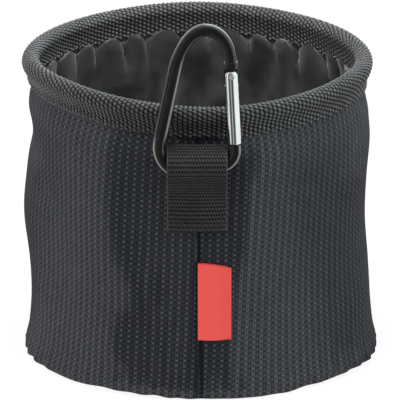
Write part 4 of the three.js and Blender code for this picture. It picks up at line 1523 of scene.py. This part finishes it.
@dataclass
class Carabiner:
    """An asymmetric D body with a collar, a tongue and a nose key, and the sprung gate between them."""

    # The order of ways for a piece turned about the gate's own line
    UPRIGHT: ClassVar[tuple[int, int, int]] = (0, 1, 2)
    LYING: ClassVar[tuple[int, int, int]] = (0, 2, 1)  # The same for one turned about the rivet's line
    # The rivet's end: shares of its radius, and millimetres out from the gate
    RIVET_HEAD: ClassVar[tuple[Span, ...]] = (
        (1.0, -0.6), (1.0, -0.1), (0.97, 0.1), (0.86, 0.22),
        (0.7, 0.24), (0.55, 0.14), (0.3, 0.06), (0.05, 0.05),
    )
    side: float = 18.8 * MM  # Half the distance between the middles of its two sides, at the bar
    width: float = 6.0 * MM  # The body's width in its own plane
    spine_width: float = 6.7 * MM  # Its width along the spine
    thickness: float = 6.0 * MM  # Its thickness across that plane
    edge: float = 1.8 * MM  # Radius of its rounded edges
    bar_rise: float = 1.9 * MM  # How much higher the bar's gate end lies
    spine_reach: float = 11.0 * MM  # Width of the bend from the bar to the spine
    spine_height: float = 15.0 * MM  # Height of that bend
    spine_lean: float = 11.9  # Degrees that the spine leans in
    nose_reach: float = 9.2 * MM  # Width of the bend from the bar to the nose
    nose_height: float = 11.0 * MM  # Height of that bend
    crown_offset: float = 3.9 * MM  # Where the crown's top lies across
    crown_over_pin: float = 23.3 * MM  # Height of the crown's middle line over the pin
    crown_shoulder: float = 19.0 * MM  # Height of the crown's bend on the spine's side
    gate_radius: float = 3.4 * MM  # Half the gate's diameter
    gate_reach: float = 34.3 * MM  # The gate's length below its pin
    gap: float = 0.3 * MM  # Room between the gate and the body
    collar_length: float = 3.4 * MM  # The collar's length
    collar_proud: float = 0.45 * MM  # How far it stands out
    collar_edge: float = 0.5 * MM  # Radius of its ends
    tongue: float = 2.4 * MM  # Thickness of the tongue and of the nose's key
    tongue_reach: float = 3.0 * MM  # How far the tongue reaches below the pin
    tongue_edge: float = 0.25 * MM  # Its bevel
    key_width: float = 4.0 * MM  # The key's width
    key_reach: float = 2.8 * MM  # How far the key reaches into the gate
    key_edge: float = 0.4 * MM  # Radius of its edges
    slot_edge: float = 0.2 * MM  # Radius of the slots' edges
    gate_edge: float = 0.45 * MM  # Radius of the gate's lower edge
    gate_tip: float = 0.2 * MM  # Radius of the smallest ring in its flat end
    overlap: float = 1.0 * MM  # How far the tongue and the key reach into the body
    least_edge: float = 0.05 * MM  # Smallest radius of a bar's edges
    rivet: float = 1.25 * MM  # Half the rivet's diameter
    rivet_room: float = 0.22 * MM  # Room round it in the gate
    spring_foot: float = 20.7 * MM  # How far below the pin the gate's spring ends
    spring_keep: float = 0.9  # Share of its length that the spring keeps when the gate is open
    spine_low: Span = (13 * MM, 22 * MM)  # Heights over the lowest point between which the spine starts
    spine_high: Span = (22 * MM, 9 * MM)  # Depths under the highest point between which it ends
    highlight_low: Span = (12 * MM, 19 * MM)  # Heights over the lowest point between which the painted highlight on the lower bends ends

    def build(self) -> None:
        """Makes and dresses the body, the gate and what is in it."""
        swing, pivot = joint("carabiner_swing"), joint("gate_open")
        along = np.array([1.0, 0.0, 0.0])
        across = np.array(pivot["axis"])
        self.axes = Axes(np.array(swing["pos_m"]), along, across, np.cross(along, across))
        down = np.array(joint("plunger_slide")["axis"])
        self.gate_axes = Axes(np.array(pivot["pos_m"]), np.cross(across, -down), across, -down)
        offset = self.gate_axes.origin - self.axes.origin
        self.pin = np.array([offset @ self.axes.x, offset @ self.axes.z])
        self.gate_down = np.array([down @ self.axes.x, down @ self.axes.z])
        self.crown_gap = self.gate_radius + 2 * self.gap
        self.body()
        self.gate()
        self.rivet_head()
        steel = BareMetal("spring_wire", "spring_steel", (0.5, 0.5, 0.51), 0.3)
        dress_node("gate_spring", steel)
        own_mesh(frame["nodes"]["gate_spring"])
        dress_node("gate_plunger", BareMetal("plunger_steel", "pin_steel", (0.6, 0.6, 0.61), 0.3))

    def on_gate(self, down: float) -> Array:
        """A point on the gate's line, that far below the pin."""
        return self.pin + self.gate_down * down

    def middle_line(self) -> Array:
        """The body's middle line from the nose, round the bar, the spine and the crown, to the collar.

        Returns:
            Points as rows, in the body's own plane.
        """
        corner = self.on_gate((self.side - self.pin[0]) / self.gate_down[0])
        floor = corner[1] - self.nose_height
        bar_right = np.array([self.side - self.nose_reach, floor + self.bar_rise])
        bar_left = np.array([self.spine_reach - self.side, floor])
        spine_foot = np.array([-self.side, floor + self.spine_height])
        lean = math.radians(self.spine_lean)
        spine_up = np.array([math.sin(lean), math.cos(lean)])
        bar_way = (bar_left - bar_right) / np.linalg.norm(bar_left - bar_right)
        level = np.array([1.0, 0.0])
        crown = np.array([self.crown_offset, self.pin[1] + self.crown_over_pin])
        spine_head = spine_foot + spine_up * (crown[1] - self.crown_shoulder - spine_foot[1]) / spine_up[1]
        crown_end = self.on_gate(-self.crown_gap - self.collar_length - self.gap)
        drop = crown[1] - crown_end[1]
        nose_pull = (0.45 * self.nose_height, 0.55 * self.nose_reach)
        spine_pull = (0.6 * self.spine_reach, 0.53 * self.spine_height)
        crown_pull = (0.38 * self.crown_shoulder, 0.4 * self.crown_shoulder)
        line = np.concatenate([
            [self.on_gate(self.gate_reach + self.gap)],
            bend(corner, self.gate_down, bar_right, bar_way, nose_pull),
            bend(bar_left, bar_way, spine_foot, spine_up, spine_pull),
            bend(spine_head, spine_up, crown, level, crown_pull),
            bend(crown, level, crown_end, self.gate_down, (0.42 * drop, 0.62 * drop))[1:],
            [self.on_gate(-self.crown_gap - self.collar_length / 2)],
        ])
        return respaced(line, 260)

    def body(self) -> None:
        """The black body with its collar, tongue and key."""
        line = self.middle_line()
        ring = rounded_box(self.width, self.thickness, self.edge)
        on_spine = self.on_spine(line)
        widened = 1 + (self.spine_width / self.width - 1) * on_spine
        x, z = moved_aside(line, ring[None, :, 0] * widened[:, None])
        finish = BlackAnodised()
        bow = Skin(self.axes.place(joined(x, ring[None, :, 1], z))).build("carabiner_bow")
        # Painted highlight along the edges, kept as the mesh's own values
        rubbed = bow.data.attributes.new(finish.mark, "FLOAT", "POINT")
        rubbed.data.foreach_set("value", self.rubbed(line, ring, on_spine).astype(np.float32).ravel())
        settle(bow, finish, Body.CARABINER, "carabiner_body")
        size = (self.width + 2 * self.collar_proud, self.thickness + self.collar_proud)
        top = self.crown_gap + self.collar_length
        collar = self.bar("carabiner_collar", size, self.edge, (self.crown_gap, top), self.collar_edge)
        reach = (-self.gate_reach - self.gap - self.overlap, self.key_reach - self.gate_reach)
        tongue = self.tongue_plate(size[0] / 2)
        key = self.bar("carabiner_key", (self.key_width, self.tongue), self.key_edge, reach, self.key_edge)
        for piece in (collar, tongue, key):
            settle(piece, finish, Body.CARABINER)

    def on_spine(self, line: Array) -> Array:
        """1 along the spine, fading out into the bends below and above it.

        Args:
            line: The body's middle line.

        Returns:
            A share for each point.
        """
        height = line[:, 1]
        above = ease(height, *(height.min() + part for part in self.spine_low))
        below = 1 - ease(height, *(height.max() - part for part in self.spine_high))
        return above * below * (line[:, 0] < 0)

    def rubbed(self, line: Array, ring: Array, on_spine: Array) -> Array:
        """Painted highlight of bare metal: the spine's inner edge and the outer edges of the lower bends.

        Args:
            line: The body's middle line.
            ring: Its section, with the inner side at the right and the front below.
            on_spine: 1 along the spine.

        Returns:
            Rows by columns of shares.
        """
        corner = ease((np.abs(ring) / np.abs(ring).max(0)).min(1), 0.62, 0.8) * (ring[:, 1] < 0)
        inner, outer = corner * (ring[:, 0] > 0), corner * (ring[:, 0] < 0)
        height = line[:, 1]
        bends = 1 - ease(height, *(height.min() + part for part in self.highlight_low))
        return 0.8 * on_spine[:, None] * inner[None] + 0.75 * bends[:, None] * outer[None]

    def tongue_plate(self, half: float) -> Piece:
        """The flat tongue in the gate's slot, rounded about the pin.

        Args:
            half: Half its width.

        Returns:
            The tongue.
        """
        rows = []
        for inset, depth in ((self.tongue_edge, -0.5), (0.0, -0.35), (0.0, 0.35), (self.tongue_edge, 0.5)):
            side, top = half - inset, self.crown_gap + self.overlap
            outline = np.concatenate([arc((0.0, 0.0), side, 180, 360, 24), [(side, top), (-side, top)]])
            rows.append(joined(outline[:, 0], depth * self.tongue, outline[:, 1]))
        return Skin(self.gate_axes.place(np.stack(rows))).build("carabiner_tongue")

    def drum(self, name: str, outline: Array, sides: int, order: tuple[int, int, int]) -> Piece:
        """A piece turned about a line through the pin.

        Args:
            name: The new object's name.
            outline: Radii and places along the line, as rows.
            sides: Steps round it.
            order: Where the gate's three ways are found among two across the line and the line itself.

        Returns:
            The piece.
        """
        radius, along = outline[:, :1], outline[:, 1:]
        points = joined(radius * np.cos(turns(sides)), radius * np.sin(turns(sides)), along)
        return Skin(self.gate_axes.place(points[..., order])).build(name)

    def bar(self, name: str, size: Span, edge: float, reach: Span, chamfer: float) -> Piece:
        """A bar along the gate's line with rounded ends.

        Args:
            name: The new object's name.
            size: Its width and depth.
            edge: Radius of its long edges.
            reach: Where it starts and ends, up from the pin.
            chamfer: Radius of its ends.

        Returns:
            The bar.
        """
        low, high = reach
        turn = arc((0.0, 0.0), chamfer, -90, 0, 4)
        ends = [(chamfer - inward, low + chamfer + rise) for inward, rise in turn]
        ends += [(inset, high + low - height) for inset, height in reversed(ends)]
        rows = []
        for inset, height in ends:
            radius = max(edge - inset, self.least_edge)
            ring = rounded_box(size[0] - 2 * inset, size[1] - 2 * inset, radius)
            rows.append(joined(ring[:, 0], ring[:, 1], height))
        return Skin(self.gate_axes.place(np.stack(rows))).build(name)

    def gate(self) -> None:
        """The polished gate: a round bar, slotted for the tongue and the key, with a rounded top."""
        edge = self.gate_edge
        turn = arc((self.gate_radius - edge, edge - self.gate_reach), edge, -90, 0, 5)
        dome = arc((0.0, 0.0), 1.0, 0, 84, 12) * (self.gate_radius, self.gate_radius + self.gap)
        outline = np.concatenate([[(self.gate_tip, -self.gate_reach)], turn, dome])
        piece = self.drum("gate_bar", outline, 72, self.UPRIGHT)
        size = (4 * self.gate_radius, self.tongue + 2 * self.gap)
        wide = size[0]
        tongue_end = -math.hypot(self.tongue_reach, self.width / 2) - self.gap
        key_end = self.key_reach + 2 * self.gap - self.gate_reach
        hole, edge = self.rivet + self.rivet_room, self.slot_edge
        self.cut(piece, self.bar("tongue_slot", size, edge, (tongue_end, wide), edge))
        self.cut(piece, self.bar("key_slot", size, edge, (-wide - self.gate_reach, key_end), edge))
        self.cut(piece, self.drum("rivet_hole", np.array([(hole, -wide), (hole, wide)]), 40, self.LYING))
        finish = BareMetal("polished_gate", "gate_metal", (0.84, 0.84, 0.83), 0.16)
        settle(piece, finish, Body.GATE, "gate_tube")

    @staticmethod
    def cut(piece: Piece, cutter: Piece) -> None:
        """Cuts one piece out of another.

        Args:
            piece: What is cut.
            cutter: What cuts it, which is used up.
        """
        slot = piece.modifiers.new("slot", "BOOLEAN")
        slot.operation = "DIFFERENCE"
        slot.solver = "EXACT"
        slot.object = cutter
        shown = piece.evaluated_get(bpy.context.evaluated_depsgraph_get())
        mesh = bpy.data.meshes.new_from_object(shown)
        piece.modifiers.clear()
        old, piece.data = piece.data, mesh
        bpy.data.meshes.remove(old)
        bpy.data.objects.remove(cutter)
        smooth(mesh, 35)

    def rivet_head(self) -> None:
        """The rivet across the gate's top, with a dished head at each end."""
        shape = np.array(self.RIVET_HEAD) * (self.rivet, MM) + (0.0, self.gate_radius)
        outline = np.concatenate([shape[::-1] * (1, -1), shape])
        piece = self.drum("gate_rivet", outline, 40, self.LYING)
        finish = BareMetal("rivet_steel", "pin_steel", (0.8, 0.8, 0.8), 0.5)
        settle(piece, finish, Body.CARABINER, "gate_pin")


@dataclass
class SideLabel:
    """A ribbon folded double, with both ends sewn into the front seam."""

    ribbon: float = 0.34 * MM  # Thickness of one layer
    droop: float = 3.0 * MM  # How far the free upper corner hangs
    puff: float = 0.5 * MM  # How far the layers stand apart in the middle
    turn: float = 0.42 * MM  # Radius of the fold
    inset: float = 0.3 * MM  # Where the ends start, from the seam's middle
    proud: float = 0.6 * MM  # How far out of the seam's place the frame's label lies
    sag: float = 0.25 * MM  # How far the lower edge sags
    steps: tuple[int, int] = (24, 44)  # Points along a layer and up it
    face: float = 0.48  # Share of the cloth map across that one face takes
    bend: float = 3.5 * MM  # Length over which it turns away from the seam

    def build(self) -> None:
        """Makes and dresses the label."""
        low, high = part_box("side_label")
        self.low, self.height = low.z, high.z - low.z
        self.radius = -joint("label_flap")["pos_m"][1]
        depth = self.radius + self.proud
        self.width = math.asin(high.x / depth) * depth
        self.make()

    def plan(self) -> Array:
        """The ribbon's line from the seam along the front, round the fold and back.

        Returns:
            Distances round from the seam and out from the label's middle, as rows.
        """
        count, turn = self.steps[0], self.turn
        reach = self.width - turn - self.ribbon / 2
        front = np.linspace(self.inset, reach, count)
        bulge = turn + self.puff * np.sin(np.linspace(0, math.pi, count)) ** 2
        fold = arc((reach, 0.0), turn, 90, -90, 8)
        back = np.stack([front[::-1], np.full(count, -turn)], 1)
        return np.concatenate([np.stack([front, bulge], 1), fold[1:-1], back])

    def make(self) -> None:
        """The folded ribbon."""
        plan = self.plan()
        length = run_lengths(plan)[-1]
        count = self.steps[1]
        up = np.linspace(0, 1, count)
        rise = np.concatenate([up, up[::-1]])[None]
        side = np.repeat([0.5, -0.5], count)[None]
        round_to, outward = moved_aside(respaced(plan, 3 * self.steps[0]), -side * self.ribbon)
        share = np.clip(round_to / self.width, 0, 1)
        height = self.low + rise * (self.height - self.droop * share ** 2)
        height = height - self.sag * np.sin(math.pi * share) * (1 - rise)
        angle, radius = round_to / self.radius, self.radius + outward
        points = joined(radius * np.sin(angle), -radius * np.cos(angle), height)
        places = [np.linspace(0, self.face, count), np.linspace(0.5, 0.5 + self.face, count), [1.0]]
        piece = Skin(points, across=np.concatenate(places)).build("label_ribbon")
        settle(piece, Ribbon(length, self.height, self.face), None, "side_label")
        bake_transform(piece)


# The studio


@dataclass
class Studio:
    """A pale floor, soft light from both sides and above, and the camera."""

    aim: Place = (1.4 * MM, 0.0, 77.4 * MM)  # What the camera looks at
    distance: float = 4.0  # How far away it stands
    elevation: float = 18.3  # Degrees that it looks down
    lens: float = 708.0  # Its lens in millimetres on a 36 mm sensor
    floor: float = 3.0  # How far the floor reaches to the sides and behind
    floor_front: float = 0.1  # How far it reaches in front
    fill: float = 0.3  # Brightness of the light from all round
    front_fill: float = 0.85  # Brightness of that light straight in front
    front_grey: float = 0.06  # Brightness of what metal and gloss mirror low in front
    front_high: float = 0.5  # Brightness of what they mirror high in front
    front_rise: Span = (0.5, 0.95)  # How steep a way up is where that comes in
    # Degrees round, from the front, between which the left side's light fades out
    left_light: Span = (-70.0, -48.0)
    right_light: Span = (20.0, 36.0)  # Degrees round between which the right side's light comes in
    right_tint: Colour = (0.965, 1.06, 1.07)  # Tint of what the gloss mirrors on the right
    right_glow: Span = (95.0, 150.0)  # Degrees round between which it grows stronger behind the bag
    glow: float = 0.8  # How much stronger it gets
    # Degrees round between which a narrow grey strip comes in, and goes, in front
    strip: tuple[float, float, float, float] = (-26.0, -20.0, -10.0, -5.0)
    strip_grey: float = 0.5  # Its brightness
    # Degrees round, two at the left and two at the right, between which gloss sees the near floor
    # get bright and dark again
    floor_lit: tuple[float, float, float, float] = (-118.0, -98.0, 56.0, 74.0)
    floor_near: Span = (0.35, 0.45)  # Distances between which the near floor ends
    dim: float = 0.75  # How much darker the near floor is elsewhere
    paper: float = 0.86  # The floor's grey
    floor_white: float = 1.05  # Brightness of the floor's own white
    floor_share: float = 0.86  # Share of that white in what the camera sees; the rest keeps the bag's shadow

    def build(self) -> None:
        """Makes the floor, the lights, the world and the camera."""
        self.ground()
        self.world()
        middle = (0.0, 0.0, self.aim[2])
        self.lamp("left_soft_box", (-0.72, -0.50, 0.48), middle, 0.6, 2.9)
        self.lamp("right_soft_box", (0.74, -0.48, 0.45), middle, 0.6, 2.7)
        self.lamp("top_soft_box", (0.0, -0.15, 0.95), middle, 0.8, 6.5)
        self.lamp("back_soft_box", (0.0, 0.02, 0.27), (0.0, 0.085, 0.14), 0.14, 0.9)
        self.camera()
        bpy.context.scene.view_settings.view_transform = "Standard"

    def ground(self) -> None:
        """A wide floor that shows as white and keeps the bag's shadow."""
        reach = self.floor
        mesh = bpy.data.meshes.new("floor")
        front = -self.floor_front
        corners = [(-reach, front, 0), (reach, front, 0), (reach, reach, 0), (-reach, reach, 0)]
        mesh.from_pydata(corners, [], [(0, 1, 2, 3)])
        floor = add_object("floor", mesh)
        paper = bpy.data.materials.new("floor_paper")
        paper.use_nodes = True
        graph = Graph(paper.node_tree, "ShaderNodeOutputMaterial")
        pale = graph.node("ShaderNodeBsdfDiffuse", None, {"Color": (*(self.paper,) * 3, 1.0)})
        right, back, _ = graph.parts(graph.node("ShaderNodeTexCoord").outputs["Object"])
        turn = self.turned(graph, right, back)
        shaded = 1 - turn.ease(*self.floor_lit[:2]) * (1 - turn.ease(*self.floor_lit[2:]))
        shaded = shaded * (1 - ((right * right + back * back) ** 0.5).ease(*self.floor_near))
        camera, glossy, through = graph.rays("Camera", "Glossy", "Transmission")
        tone = graph.mix(shaded * glossy, WHITE, (1 - self.dim,) * 3)
        white = graph.node("ShaderNodeEmission", None, {"Color": tone, "Strength": self.floor_white})
        share = (camera + glossy + through).at_most(1.0) * self.floor_share
        graph.show(graph.node("ShaderNodeMixShader", None,
                              {0: share, 1: pale.outputs[0], 2: white.outputs[0]}))
        mesh.materials.append(paper)

    def world(self) -> None:
        """A white background, and soft light all round, stronger in front.

        Metal and gloss see a room of their own, with a slight tint on the right.
        """
        world = bpy.data.worlds.new("studio_world")
        bpy.context.scene.world = world
        world.use_nodes = True
        graph = Graph(world.node_tree, "ShaderNodeOutputWorld")
        right, back, up = graph.parts(graph.node("ShaderNodeTexCoord").outputs["Generated"])
        turn = self.turned(graph, right, back)
        camera, glossy = graph.rays("Camera", "Glossy")
        fill = (-back).at_least(0.0) * (self.front_fill - self.fill) + self.fill
        strength = fill + glossy * (self.mirrored(turn, up) - fill) + camera * (1 - fill)
        tint = graph.mix(glossy * turn.ease(*self.right_light), WHITE, self.right_tint)
        graph.show(graph.node("ShaderNodeBackground", None, {"Color": tint, "Strength": strength}))

    def mirrored(self, turn: Value, up: Value) -> Value:
        """How bright metal and gloss see the room each way round: light at both sides, darker in front.

        Args:
            turn: Degrees round from the front.
            up: How far a way points up.

        Returns:
            Brightness, 1 for white.
        """
        sides = 1 - turn.ease(*self.left_light) + turn.ease(*self.right_light)
        strip = turn.ease(*self.strip[:2]) * (1 - turn.ease(*self.strip[2:])) * self.strip_grey
        front = up.ease(*self.front_rise) * (self.front_high - self.front_grey) + self.front_grey
        lit = (sides + strip).at_most(1.0)
        return lit * (1 - front) + front + turn.ease(*self.right_glow) * self.glow

    @staticmethod
    def turned(graph: Graph, right: Value, back: Value) -> Value:
        """Degrees round from the front, growing to the right."""
        return graph.math("ARCTAN2", right, -back) * (180 / math.pi)

    @staticmethod
    def lamp(name: str, place: Place, target: Place, size: float, power: float) -> None:
        """Adds a square soft box; gloss mirrors the room's own light in its place.

        Args:
            name: The lamp's name.
            place: Where it hangs.
            target: What it faces.
            size: Its width.
            power: Its watts.
        """
        light = bpy.data.lights.new(name, "AREA")
        light.shape = "SQUARE"
        light.size = size
        light.energy = power
        lamp = add_object(name, light)
        lamp.location = place
        way = Vector(target) - Vector(place)
        lamp.rotation_euler = way.to_track_quat("-Z", "Y").to_euler()
        lamp.visible_camera = False
        lamp.visible_glossy = False

    def camera(self) -> None:
        """The camera, level with the photograph's view."""
        lens = bpy.data.cameras.new("photo_camera")
        lens.lens = self.lens
        lens.sensor_width = 36.0
        lens.clip_end = 50.0
        camera = add_object("photo_camera", lens)
        tilt = math.radians(self.elevation)
        away = Vector((0.0, -math.cos(tilt), math.sin(tilt))) * self.distance
        camera.location = Vector(self.aim) + away
        camera.rotation_euler = (-away).to_track_quat("-Z", "Y").to_euler()
        bpy.context.scene.camera = camera


def write_sizes() -> None:
    """Updates the scene's view layer."""
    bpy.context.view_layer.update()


def main() -> None:
    """Builds the studio and the bag's sub-assemblies in order."""
    logging.basicConfig(level=logging.INFO, format="%(name)s: %(message)s")
    Studio().build()
    form = BagForm()
    for part in (ClothBody(form), RimBinding(form), HangingTab(), SideLabel(), Carabiner()):
        part.build()
        LOG.info("%s done", type(part).__name__)
    write_sizes()


if __name__ == "__main__":
    main()
